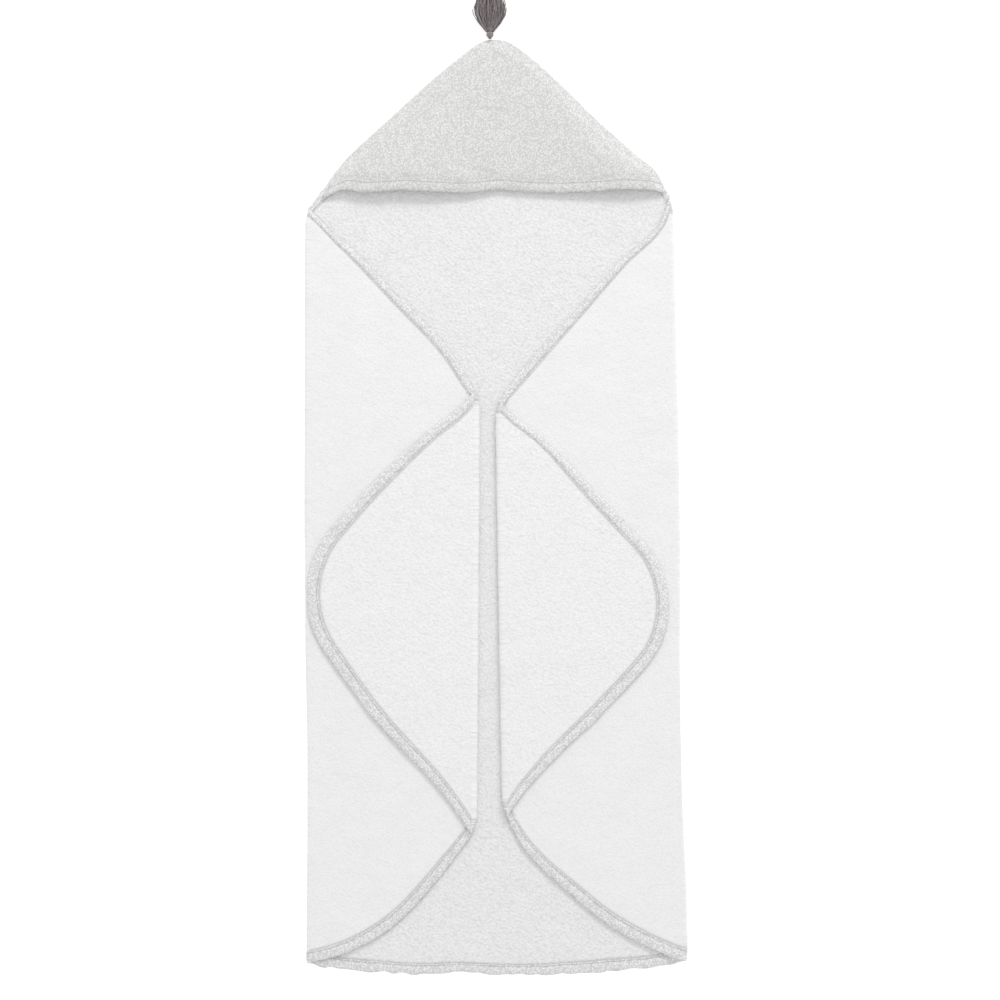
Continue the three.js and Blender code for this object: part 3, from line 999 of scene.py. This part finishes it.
def binding_object(name, run, weights):
    D, H = binding_shape(run)
    stations, across = D.shape
    index = np.repeat(np.arange(stations), across)
    flat = run.places(index, D.ravel())
    q = run.q[index]
    points = folded(run.side, flat, q, H.ravel())
    faces = channel_faces(stations, across)
    # Painted shade: in the stitching's groove and along the binding's inner border.
    crease_shade = [math.exp(-(((d - 8.5) / 0.5) ** 2)) + (d > 10) for d, _ in SECTION]
    obj = mesh_object(name, points, faces, flat=flat, materials=(BINDING,), sharp=55,
                      seam=np.tile(crease_shade, stations))
    return obj, weights(q) if weights else None


STITCH_SIDES = 6
STITCH_HALF_WIDTH, STITCH_HALF_HEIGHT = 0.24 * MM, 0.20 * MM
STITCH_LOWEST = 0.03 * MM
STITCH_RINGS = [(-1.0, 0.0), (-0.72, 0.75), (0.0, 1.0), (0.72, 0.75), (1.0, 0.0)]


def stitch_shape(number):
    """One stitch's points (along the seam, across it, up), and the faces of a number of them."""
    angle = 2 * math.pi * np.arange(STITCH_SIDES) / STITCH_SIDES
    along, out, up = [], [], []
    for at, size in STITCH_RINGS:
        along.append(np.full(STITCH_SIDES, at * STITCH_LENGTH / 2))
        out.append(STITCH_HALF_WIDTH * size * np.cos(angle))
        up.append(STITCH_HALF_HEIGHT * size * np.sin(angle))
    faces = []
    for base in range(0, number * STITCH_SIDES * len(STITCH_RINGS), STITCH_SIDES * len(STITCH_RINGS)):
        for i in range(len(STITCH_RINGS) - 1):
            for k in range(STITCH_SIDES):
                a = base + i * STITCH_SIDES + k
                b = base + i * STITCH_SIDES + (k + 1) % STITCH_SIDES
                faces.append([a, b, b + STITCH_SIDES, a + STITCH_SIDES])
    return np.concatenate(along), np.concatenate(out), np.concatenate(up), faces


def stitch_object(name, run, weights):
    """Short stitches along the binding, on both faces of the cloth."""
    starts = np.arange(STITCH_PITCH / 2, run.along[-1] - STITCH_PITCH / 2, STITCH_PITCH)
    ends = [np.interp(starts + x * STITCH_LENGTH / 2, run.along, run.q) for x in (-1, 1)]
    flat_lying = [np.abs(q - np.round(q)) < 0.01 for q in ends]
    starts = starts[flat_lying[0] & flat_lying[1]]
    along, out, up, faces = stitch_shape(len(starts))
    here = np.repeat(starts, len(along)) + np.tile(along, len(starts))
    point, inward = (
        np.column_stack([np.interp(here, run.along, values[:, k]) for k in (0, 1)])
        for values in (run.point, run.inward)
    )
    q = np.round(np.interp(here, run.along, run.q))
    depth = STITCH_DEPTH * np.interp(here, run.along, run.share) + np.tile(out, len(starts))
    flat = point + inward * depth[:, None]
    height = STITCH_HEIGHT + np.tile(up, len(starts))
    made = np.vstack([folded(run.side, flat, q, face * height) for face in (1, -1)])
    made[:, 2] = np.maximum(made[:, 2], STITCH_LOWEST)
    faces = [face[::-1] for face in faces] + [[v + len(q) for v in face] for face in faces]
    obj = mesh_object(name, made, faces, np.vstack((flat, flat)), (THREAD,), sharp=0)
    return obj, weights(np.concatenate((q, q))) if weights else None


TUCKED_IN = 1.5 * MM  # how far past the hood's opening the binding runs on under it


def binding_runs():
    """Every length of binding: its name, its stations, what it replaces and how it moves."""
    runs = []
    hem_from = crossings(CUT, LEFT.outer)[1] + SPLIT
    hem_to = crossings(CUT, RIGHT.outer)[1] - SPLIT
    runs.append(("hem", LEFT, [(hem_from, STARTS[-1] + hem_to, 0, 0)], "hem_binding", None))
    for side in SIDES:
        outer_up, outer_low = crossings(CUT, side.outer)
        centre_up, centre_low = crossings(CUT, side.centre)
        down = 1 if side.out < 0 else -1  # the way along the edge that leads towards the hem
        start = edge_at_opening(side) - down * TUCKED_IN
        name = side.name
        across_outer = ("towel_back", f"{name}_inner", side.outer_hinge, 0)
        across_centre = (f"{name}_inner", f"{name}_outer", side.centre_hinge, 1)
        runs.append((f"{name}_inner_upper", side, [
            (start, outer_up, 0, 0),
            (outer_up, outer_up, 0, 1),
            (outer_up, centre_up - down * SPLIT, 1, 1),
        ], f"{name}_inner_upper_binding", across_outer))
        runs.append((f"{name}_corner", side, [
            (centre_up - down * SPLIT, centre_up, 1, 1),
            (centre_up, centre_up, 1, 2),
            (centre_up, centre_low, 2, 2),
            (centre_low, centre_low, 2, 1),
            (centre_low, centre_low + down * SPLIT, 1, 1),
        ], f"{name}_corner_binding", across_centre))
        runs.append((f"{name}_inner_lower", side, [
            (centre_low + down * SPLIT, outer_low, 1, 1),
            (outer_low, outer_low, 1, 0),
            (outer_low, outer_low + down * SPLIT, 0, 0),
        ], f"{name}_inner_lower_binding", across_outer))
    return runs


def make_binding():
    made = {}
    for name, side, legs, node, across in binding_runs():
        run = Run(side, legs)
        base = across[3] if across else 0
        weights = (lambda q, base=base: np.clip(q - base, 0, 1)) if across else None
        flip = legs[0][1] < legs[0][0] or (name != "hem" and side.out > 0)
        parts = [
            binding_object(f"binding_{name}", run, weights),
            stitch_object(f"stitches_{name}", run, weights),
        ]
        for obj, w in parts:
            if flip:
                obj.data.flip_normals()
            if across:
                set_blend(obj, across[0], across[1], across[2], w)
            else:
                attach(obj, "towel_back")
        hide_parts(node)
        made[name] = [obj for obj, _ in parts]
    return made


# ------------------------------------------------------------------ the hood

HOOD_LINING = 2.2 * MM  # thickness
LINING_PRESSED = 0.5 * MM  # its thickness at the seams
HOOD_PRINT = 0.6 * MM
SEAM_ROUND = 2.3 * MM  # how far in from the cut edge the print starts to roll down to its seam
SEAM_LOW = 0.7 * MM  # how low the print's turned seam comes
SEAM_TUCK = 0.25 * MM  # how far in under the towel's edge the turned seam leans
SEAM_STEP = 1.2 * MM  # cloth between the rows of the turned seam
ROLL_ANGLES = (18, 36, 54, 72, 90)  # degrees round the roll at which its rows of points lie
TUCK_SHARES = (0.4, 0.75, 1.0)  # and of the way down from there to the seam
HOOD_FRONT = 1.2 * MM  # how far behind the opening's edge the hood's own cloth starts
LINING_INSET = 0.9 * MM  # how far inside the print's outline the lining's is
LINING_AIR = 0.08 * MM  # between the lining and the print
HOOD_AIR = 0.35 * MM  # between the towel and the hood where the hood lies lowest
VAULT_HEIGHT = 3.4 * MM  # how far the hood stands off behind its opening
FRONT_REACH = 58 * MM  # how far back the opening's shape is felt
WANDER_REACH, WANDER_LESS = 30 * MM, 14 * MM  # how far back its wander is, and less at its ends
HOOD_WAVE, HOOD_CREASE = 0.40 * MM, 0.16 * MM
SMOOTH_FRONT = 12 * MM  # over what distance behind the opening the creases begin
SEAM_PRESSED, SEAM_RISE = 1.5 * MM, 9 * MM  # how far in the seam presses the lining, and its rise
BAND_RISE = 5 * MM  # over what distance it rises behind the opening's binding
POINT_Y = float(CUT[:, 1].max())
BACK_TOP = BACK_MIDDLE + TERRY_HALF
# How the opening's edge lies, as share of its width from the left end: height of the hood's
# underside off the towel and how far the edge wanders down the towel, in millimetres.
OPENING_SHAPE = [
    (0.00, 1.0, 8.0), (0.03, 2.6, 3.2), (0.06, 4.3, -0.6), (0.12, 6.0, 1.3), (0.22, 7.0, -0.6),
    (0.33, 6.4, 0.9), (0.43, 3.8, 1.6), (0.50, 2.6, -1.3), (0.58, 2.4, 0.4), (0.68, 2.8, 1.7),
    (0.80, 5.0, 0.3), (0.90, 6.8, -1.5), (0.96, 4.4, -0.2), (1.00, 1.0, 2.6),
]

hood_waves = waves(21, 34 * MM)
hood_creases = waves(22, 12 * MM)
band_puckers = waves(23, 7.5 * MM)


def span_at(y):
    """The left and right side of the cut edge at heights y."""
    y = np.atleast_1d(np.asarray(y, float))
    left, right = np.full(len(y), np.inf), np.full(len(y), -np.inf)
    for a, b in spans(CUT):
        crosses = (a[1] > y) != (b[1] > y)
        if crosses.any():
            x = a[0] + (y[crosses] - a[1]) / (b[1] - a[1]) * (b[0] - a[0])
            left[crosses] = np.minimum(left[crosses], x)
            right[crosses] = np.maximum(right[crosses], x)
    none = ~np.isfinite(left)
    left[none] = right[none] = MIDDLE_X
    return left, right


def opening_shape(share):
    """The hood's height and wander at each share across its opening."""
    height, wander = (smooth_curve(OPENING_SHAPE, np.clip(share, 0, 1)) * MM).T
    return np.maximum(height, 0.2 * MM), wander


def hood_place(x, y):
    """Share across (0 left to 1 right) and share up (0 at the opening to 1 at the point)."""
    up = np.clip((y - HOOD_OPENING) / (POINT_Y - HOOD_OPENING), 0, 1)
    left, right = span_at(np.clip(y, HOOD_OPENING, POINT_Y - 0.5 * MM))
    across = np.clip((x - left) / np.maximum(right - left, 1e-6), 0, 1)
    return across, up


def hood_under(x, y):
    """The height of the hood's underside: it stands off most at its opening."""
    across, up = hood_place(x, y)
    height, _ = opening_shape(across)
    closing = 1 - np.abs(2 * across - 1) ** 3.0
    vault = VAULT_HEIGHT * closing * np.cos(up * math.pi / 2)
    front = np.exp(-((y - HOOD_OPENING) / FRONT_REACH) ** 2)
    lift = height * front + vault * (1 - front)
    lift += HOOD_WAVE * hood_waves(x, y) * closing * (1 - up)
    return BACK_TOP + HOOD_AIR + np.maximum(lift, 0)


def hood_wander(x, y):
    """How far along Y the cloth is moved by the waving of the opening's edge."""
    across, _ = hood_place(x, y)
    _, wander = opening_shape(across)
    reach = WANDER_REACH - WANDER_LESS * np.abs(2 * across - 1) ** 8
    return -wander * np.exp(-((y - HOOD_OPENING) / reach) ** 2)


def hood_thickness(x, y):
    """The lining's thickness: pressed at the seams and inside the opening's binding."""
    flat = np.column_stack((x, y))
    distance, _ = edge_distance(flat)
    seam = smoothstep((distance - SEAM_PRESSED) / SEAM_RISE)
    band = 0.55 + 0.45 * smoothstep((y - HOOD_OPENING - HOOD_BAND) / BAND_RISE)
    return (LINING_PRESSED + (HOOD_LINING - LINING_PRESSED) * seam) * band


def hood_top(x, y):
    """The height of the print's upper surface."""
    top = hood_under(x, y) + hood_thickness(x, y) + HOOD_PRINT
    return top + HOOD_CREASE * hood_creases(x, y) * smoothstep((y - HOOD_OPENING) / SMOOTH_FRONT)


def thickened(points, faces, thickness):
    """A closed shell from an open surface, its second layer to the back of the first."""
    corners = points[np.array([f[:3] for f in faces])]
    across = np.cross(corners[:, 1] - corners[:, 0], corners[:, 2] - corners[:, 0])
    normals = np.zeros_like(points)
    for k in range(3):
        np.add.at(normals, [f[k] for f in faces], across)
    normals /= np.maximum(np.linalg.norm(normals, axis=1), 1e-12)[:, None]
    return np.vstack((points, points - normals * thickness)), closed_faces(faces, len(points))


def hood_polygon(distance, front):
    """The hood's outline, in from the cut edge and above a line ahead of the opening."""
    base = Line((MIDDLE_X, HOOD_OPENING + front), (1, 0))
    up = 1 if base.normal(1)[1] > 0 else -1
    return clip(inset(distance), base, up)


def rim_beside_edge(flat, faces):
    """The points of the print's rim that lie along the cut edge, in order, and one more at each
    end."""
    rim = dict(open_edges(faces))
    start = min(rim, key=lambda k: (flat[k][1] > HOOD_OPENING + 2 * MM, flat[k][0]))
    loop = [start]
    while rim[loop[-1]] != start:
        loop.append(rim[loop[-1]])
    behind = [flat[k][1] > HOOD_OPENING + HOOD_FRONT + 0.05 * MM for k in loop]
    first = behind.index(True)
    return [loop[(first - 1 + i) % len(loop)] for i in range(sum(behind) + 2)]


def rolled_rim(rim, flat):
    """Rows of points that carry the rim over the towel's edge and down to the turned seam, and
    where each row lies on the pattern."""
    _, inward = on_edge(edge_distance(flat)[1])
    rows = []
    for angle in np.radians(ROLL_ANGLES):
        out = SEAM_ROUND * math.sin(angle)
        drop = SEAM_ROUND * (1 - math.cos(angle))
        place = flat - inward * out
        row = np.column_stack((place[:, 0], rim[:, 1] - inward[:, 1] * out, rim[:, 2] - drop))
        rows.append((row, place - inward * drop))
    base = rim[:, 2] - SEAM_ROUND
    for share in TUCK_SHARES:
        row, place = rows[-1]
        row = row.copy()
        row[:, 2] = base + (SEAM_LOW - base) * share
        row[:, :2] += inward * SEAM_TUCK * share
        rows.append((row, place - inward * SEAM_STEP))
    return rows


def hood_print():
    flat, faces = patch(hood_polygon(SEAM_ROUND, HOOD_FRONT))
    faces = [list(f) for f in faces]
    points = np.column_stack((flat, hood_top(flat[:, 0], flat[:, 1])))
    points[:, 1] += hood_wander(flat[:, 0], flat[:, 1])
    near = rim_beside_edge(flat, faces)
    layers, flats, total = [points], [flat], len(points)
    for row, place in rolled_rim(points[near], flat[near]):
        far = list(range(total, total + len(row)))
        for k in range(len(row) - 1):
            faces.append([near[k + 1], near[k], far[k], far[k + 1]])
        layers.append(row)
        flats.append(place)
        near, total = far, total + len(row)
    closed, shell = thickened(np.vstack(layers), faces, HOOD_PRINT)
    flats = np.vstack(flats + flats)
    obj = mesh_object("printed_hood", closed, shell, flats, (PRINT,))
    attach(obj, "towel_back")
    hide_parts("hood_print_panel")
    return obj, hood_polygon(0, 0)


def hood_lining():
    polygon = hood_polygon(SEAM_ROUND + LINING_INSET, HOOD_FRONT)
    flat, faces = patch(polygon)
    faces = [list(f) for f in faces]
    x, y = flat[:, 0], flat[:, 1]
    wander = hood_wander(x, y)
    under = np.column_stack((x, y + wander, hood_under(x, y)))
    over = np.column_stack((x, y + wander, hood_under(x, y) + hood_thickness(x, y) - LINING_AIR))
    obj = mesh_object("terry_hood_lining", np.vstack((over, under)),
                      closed_faces(faces, len(flat)), np.vstack((flat, flat)), (TERRY_INNER,))
    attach(obj, "towel_back")
    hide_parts("hood_lining")
    return obj, polygon


# A section of the opening's binding: depth in from the edge, share of the way from the lower
# face (-1) to the upper face (1), and how far the strip stands off that face, in millimetres.
BAND_OVER = [
    (9.5, 1, 0.05), (9.2, 1, 0.45), (8.6, 1, 0.50), (8.1, 1, 0.28), (7.6, 1, 0.52),
    (6.6, 1, 0.72), (5.2, 1, 0.80), (3.8, 1, 0.78), (2.4, 1, 0.62), (1.2, 1, 0.36),
    (0.4, 0.85, 0.15), (-0.2, 0.45, 0.1), (-0.4, 0, 0),
]
BAND_INSET = 1.6 * MM  # how far in from the cut edge the opening's binding ends
BAND_LENGTH = float(np.ptp(span_at(np.array([HOOD_OPENING]))))
BAND_SECTION = BAND_OVER + [(d, -s, o) for d, s, o in reversed(BAND_OVER[:-1])] + [
    (8.8, -1, -0.12), (5, -1, -0.12), (1.2, -1, -0.12), (0.7, 0, 0), (1.2, 1, -0.12), (5, 1, -0.12),
    (8.8, 1, -0.12),
]


def band_point(across, depth, side, off):
    """A place on the band, or beside it: the share of its length, depth in from the opening,
    side from -1 below to 1 above, and how far off that face."""
    y = HOOD_OPENING + depth
    inside = np.maximum(y, HOOD_OPENING + 0.6 * MM)
    left, right = span_at(inside)
    x = left + BAND_INSET + across * (right - left - 2 * BAND_INSET)
    low = hood_under(x, inside)
    high = hood_top(x, inside)
    middle, half = (low + high) / 2, (high - low) / 2
    z = middle + half * side + np.sign(side) * off
    return np.column_stack((x, y + hood_wander(x, inside), np.maximum(z, BACK_TOP + 0.1 * MM)))


def hood_band():
    stations = int(BAND_LENGTH / STEP)
    across = np.linspace(0, 1, stations)
    xs = across * BAND_LENGTH
    rings, flats = [], []
    for depth, side, off in BAND_SECTION:
        d = depth * MM * np.ones(stations)
        pucker = 0.12 * MM * band_puckers(xs + d * 0.7 * (1 if side >= 0 else -1), d)
        edge = (0.30 * MM * band_puckers(xs * 0.45, 3) + 0.14 * MM * band_puckers(xs, 9))
        fold = pucker * min(1.0, max(0.0, 1 - ((depth - 4.6) / 5.0) ** 2))
        d = d + edge * (1 - depth / 10)
        rings.append(band_point(across, d, side, off * MM + fold * (off > 0.3)))
        flats.append(np.column_stack((xs, np.full(stations, HOOD_OPENING + side * depth * MM))))
    points = np.stack(rings, axis=1).reshape(-1, 3)
    flat = np.stack(flats, axis=1).reshape(-1, 2)
    # Painted shade: in the stitching's groove and along the band's inner border.
    crease_shade = [math.exp(-(((d - 8.1) / 0.5) ** 2)) + (d > 9.3) for d, _, _ in BAND_SECTION]
    obj = mesh_object("hood_opening_binding", points, channel_faces(stations, len(BAND_SECTION)),
                      flat, (HOOD_BINDING,), sharp=55, seam=np.tile(crease_shade, stations))
    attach(obj, "towel_back")
    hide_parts("hood_edge_binding")
    return obj


def hood_stitches():
    """The stitching along the opening's binding, above and below."""
    starts = np.arange(STITCH_PITCH, BAND_LENGTH - STITCH_PITCH, STITCH_PITCH)
    along, out, up, faces = stitch_shape(len(starts))
    x = np.repeat(starts, len(along)) + np.tile(along, len(starts))
    depth = 8.1 * MM + np.tile(out, len(starts))
    layers = [
        band_point(x / BAND_LENGTH, depth, side, 0.36 * MM + np.tile(up, len(starts)) * side)
        for side in (1, -1)
    ]
    faces += [[v + len(x) for v in face] for face in faces]
    flat = np.column_stack((x, HOOD_OPENING + depth))
    obj = mesh_object("stitches_hood_opening", np.vstack(layers), faces,
                      np.vstack((flat, flat)), (THREAD,), sharp=0)
    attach(obj, "towel_back")
    return obj


# ------------------------------------------------------------------ the tassel

def tube(points, radii, sides, closed=False):
    """Points and faces of a tube along a line of points, with its ends closed by fans."""
    points = np.asarray(points, float)
    count = len(points)
    ahead = np.roll(points, -1, 0) - np.roll(points, 1, 0) if closed else np.gradient(points, axis=0)
    ahead /= np.linalg.norm(ahead, axis=1)[:, None]
    made = []
    side = np.cross(ahead[0], (0.31, 0.2, 0.93))
    for k in range(count):
        side = side - ahead[k] * (side @ ahead[k])
        side /= np.linalg.norm(side)
        other = np.cross(ahead[k], side)
        for j in range(sides):
            angle = 2 * math.pi * j / sides
            made.append(points[k] + radii[k] * (side * math.cos(angle) + other * math.sin(angle)))
    faces = []
    for k in range(count if closed else count - 1):
        for j in range(sides):
            a, b = k * sides + j, k * sides + (j + 1) % sides
            c, d = (b + sides) % (count * sides), (a + sides) % (count * sides)
            faces.append([a, b, c, d])
    if not closed:
        faces.append(list(range(sides - 1, -1, -1)))
        faces.append([(count - 1) * sides + j for j in range(sides)])
    return made, faces


class Bundle:
    """Several tubes joined in one mesh, each with its own run of the pattern."""

    def __init__(self):
        self.points, self.faces, self.flats = [], [], []

    def add(self, line, radii, sides, closed=False):
        made, faces = tube(line, radii, sides, closed)
        base = len(self.points)
        self.points += made
        self.faces += [[v + base for v in f] for f in faces]
        offset = random.uniform(0, 1)
        length = np.concatenate(([0], np.cumsum(np.linalg.norm(np.diff(line, axis=0), axis=1))))
        for k in range(len(line)):
            for j in range(sides):
                self.flats.append((offset + length[k] * 0.35, offset + j / sides * 2.4 * MM))

    def make(self, name, material):
        return mesh_object(name, np.array(self.points), self.faces, np.array(self.flats),
                           (material,), sharp=0)


SKIRT_LOW, SKIRT_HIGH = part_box("tassel_skirt")
WRAP_LOW, WRAP_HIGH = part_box("tassel_wrap")
LOOP_LOW, LOOP_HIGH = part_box("tassel_loop")
TASSEL_X = (WRAP_LOW.x + WRAP_HIGH.x) / 2
TASSEL_Z = (WRAP_LOW.z + WRAP_HIGH.z) / 2
STRANDS = 230
STRAND_RADIUS = 0.5 * MM
GOLDEN_ANGLE = 2.39996  # radians between strands, which spreads them evenly
TUCKED_UP = 0.8 * MM  # how far inside the knot the strands start
KNOT_TAIL = 1.6 * MM  # how far below the loop's middle the knot starts
KNOT_SIZES = [0.20, 0.40, 0.55, 0.75, 0.92, 0.92, 0.82, 0.76, 0.6]  # along it, as shares
WINDING_RADIUS = 0.46 * MM
# The skirt's half width as it fans out: share along its length, and share of its widest.
SKIRT_FAN = [(0, 0.22), (0.10, 0.42), (0.22, 0.68), (0.40, 0.96), (0.56, 1), (1, 1)]
OUTER_REACH = 0.56  # how far down the skirt its outermost strands end, as a share


SKIRT_LENGTH = SKIRT_HIGH.y - WRAP_HIGH.y
SKIRT_REACH = (SKIRT_HIGH.x - SKIRT_LOW.x) / 2 - STRAND_RADIUS
SKIRT_RISE = (SKIRT_HIGH.z - SKIRT_LOW.z) / 2 - STRAND_RADIUS
RAGGED = 0.07  # how much strands differ in length, as a share of the skirt
SWAY = 0.55  # how far strands stray, in millimetres
LEAST_RISE = 0.42  # how flat the skirt starts, as a share of its full height
STRAND_STEPS = 13


def strand_line(across, up, reach, sway, phase):
    """One strand's places: where it starts in the skirt's section, how far down it reaches, and
    how it sways."""
    line = []
    for k in range(STRAND_STEPS):
        t = k / (STRAND_STEPS - 1)
        along = t * reach
        fan = float(np.interp(along, *zip(*SKIRT_FAN)))
        wave = math.sin(2 * math.pi * along * 1.3 + phase)
        x = across * fan * SKIRT_REACH + t * sway[0] + t * wave * sway[1] * 1.4
        z = up * max(LEAST_RISE, fan) * SKIRT_RISE * (1 - 0.12 * t) + t * wave * sway[2]
        z = min(max(z, -SKIRT_RISE), SKIRT_RISE)
        y = WRAP_HIGH.y - TUCKED_UP + along * (SKIRT_LENGTH + TUCKED_UP)
        line.append((TASSEL_X + x, y, TASSEL_Z + z))
    return np.array(line)


def tassel_strands():
    bundle = Bundle()
    for n in range(STRANDS):
        radius = math.sqrt((n + 0.5) / STRANDS)
        angle = n * GOLDEN_ANGLE
        short = (1 - OUTER_REACH) * max(0, (radius - 0.55) / 0.45) ** 1.5
        reach = 1 - RAGGED * random.random() - short
        sway = [random.gauss(0, SWAY) * MM for _ in range(4)]
        phase = random.uniform(0, 2 * math.pi)
        line = strand_line(radius * math.cos(angle), radius * math.sin(angle), reach, sway, phase)
        radii = [STRAND_RADIUS * (0.85 + 0.15 * math.sin(5 * k + n)) for k in range(STRAND_STEPS)]
        radii[0] *= 0.6
        radii[-1] *= 0.45
        bundle.add(line, radii, 6)
    obj = bundle.make("tassel_strands", YARN)
    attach(obj, "tassel")
    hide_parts("tassel_skirt")
    return obj


def tassel_neck():
    """The head of the tassel, with yarn wound round it in close turns."""
    bundle = Bundle()
    start = (LOOP_LOW.y + LOOP_HIGH.y) / 2 - KNOT_TAIL
    length = WRAP_HIGH.y - start
    radius = (WRAP_HIGH.x - WRAP_LOW.x) / 2
    head = [(TASSEL_X, start + length * t, TASSEL_Z) for t in np.linspace(0, 1, 9)]
    bundle.add(np.array(head), [radius * s * 0.9 for s in KNOT_SIZES], 20)
    even = np.linspace(0, 1, len(KNOT_SIZES))
    turns, steps = 8, 30
    line, radii = [], []
    for k in range(turns * steps + 1):
        t = k / (turns * steps)
        angle = 2 * math.pi * k / steps
        y = start + length * (0.06 + 0.86 * t)
        size = 0.92 * radius * float(np.interp(t, even, KNOT_SIZES))
        tilt = 0.3 * MM * math.sin(angle * 0.5 + 1)
        line.append((TASSEL_X + size * math.cos(angle), y + tilt, TASSEL_Z + size * math.sin(angle)))
        radii.append(WINDING_RADIUS)
    bundle.add(np.array(line), radii, 7)
    obj = bundle.make("tassel_neck_winding", KNOT_PAINTED_LIGHTER)
    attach(obj, "tassel")
    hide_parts("tassel_wrap")
    return obj


def tassel_loop():
    """A loop of two twisted yarns, from the hood's point to the tassel's head."""
    bundle = Bundle()
    centre_y = (LOOP_LOW.y + LOOP_HIGH.y) / 2
    cord = (LOOP_HIGH.z - LOOP_LOW.z) / 2
    radius = (LOOP_HIGH.x - LOOP_LOW.x) / 2 - cord
    steps, twists = 48, 7
    for strand in (0, math.pi):
        line = []
        for k in range(steps):
            angle = 2 * math.pi * k / steps
            twist = twists * angle + strand
            out = radius + 0.42 * cord * math.cos(twist)
            line.append((
                TASSEL_X + out * math.sin(angle),
                centre_y + out * math.cos(angle) * 1.12,
                TASSEL_Z + 0.42 * cord * math.sin(twist),
            ))
        bundle.add(np.array(line), [cord * 0.58] * steps, 6, closed=True)
    obj = bundle.make("tassel_hanging_loop", KNOT_PAINTED_LIGHTER)
    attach(obj, "loop")
    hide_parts("tassel_loop")
    return obj


# ------------------------------------------------------------------ stage, camera and light

VIEW_WIDTH = 0.915
VIEW_MIDDLE = (MIDDLE_X + 4.13 * MM, -17.5 * MM)
LENS, SENSOR = 200, 36
FLOOR_GREY = 0.62
FLOOR_GLOW = 0.62
SKY = 0.80
KEY_SIZE, KEY_POWER, KEY_PLACE = (2.2, 0.7), 52, (0.75, 3.0, 1.9)


def stage():
    bpy.ops.mesh.primitive_plane_add(size=14)
    floor = bpy.context.object
    floor.name = "floor"
    made = bpy.data.materials.new("floor")
    made.use_nodes = True
    shader = made.node_tree.nodes["Principled BSDF"]
    shader.inputs["Base Color"].default_value = (*grey(FLOOR_GREY), 1)
    shader.inputs["Roughness"].default_value = 0.9
    shader.inputs["Specular IOR Level"].default_value = 0.1
    shader.inputs["Emission Color"].default_value = (1, 1, 1, 1)
    shader.inputs["Emission Strength"].default_value = FLOOR_GLOW
    floor.data.materials.append(made)


def area_light(name, size, power, place, target=(0, 0, 0)):
    data = bpy.data.lights.new(name, "AREA")
    data.shape = "RECTANGLE"
    data.size, data.size_y = size
    data.energy = power
    obj = bpy.data.objects.new(name, data)
    bpy.context.scene.collection.objects.link(obj)
    obj.location = place
    obj.rotation_euler = (Vector(target) - Vector(place)).to_track_quat("-Z", "Y").to_euler()


def camera_and_light():
    scene = bpy.context.scene
    scene.view_settings.view_transform = "Standard"
    data = bpy.data.cameras.new("camera")
    data.lens, data.sensor_width = LENS, SENSOR
    data.clip_end = 50
    camera = bpy.data.objects.new("camera", data)
    scene.collection.objects.link(camera)
    camera.location = (*VIEW_MIDDLE, VIEW_WIDTH * LENS / SENSOR)
    scene.camera = camera
    world = bpy.data.worlds.new("studio")
    world.use_nodes = True
    background = world.node_tree.nodes["Background"]
    background.inputs["Color"].default_value = (1, 1, 1, 1)
    background.inputs["Strength"].default_value = SKY
    scene.world = world
    area_light("key", KEY_SIZE, KEY_POWER, KEY_PLACE)


# ------------------------------------------------------------------ assembly

back, back_polygon = back_terry()
for side in SIDES:
    for part in ("inner", "outer"):
        flap_terry(side, part)
binding = make_binding()
printed, printed_polygon = hood_print()
lining, lining_polygon = hood_lining()
band = hood_band()
band_stitches = hood_stitches()
tassel_strands()
tassel_neck()
tassel_loop()

stage()
camera_and_light()
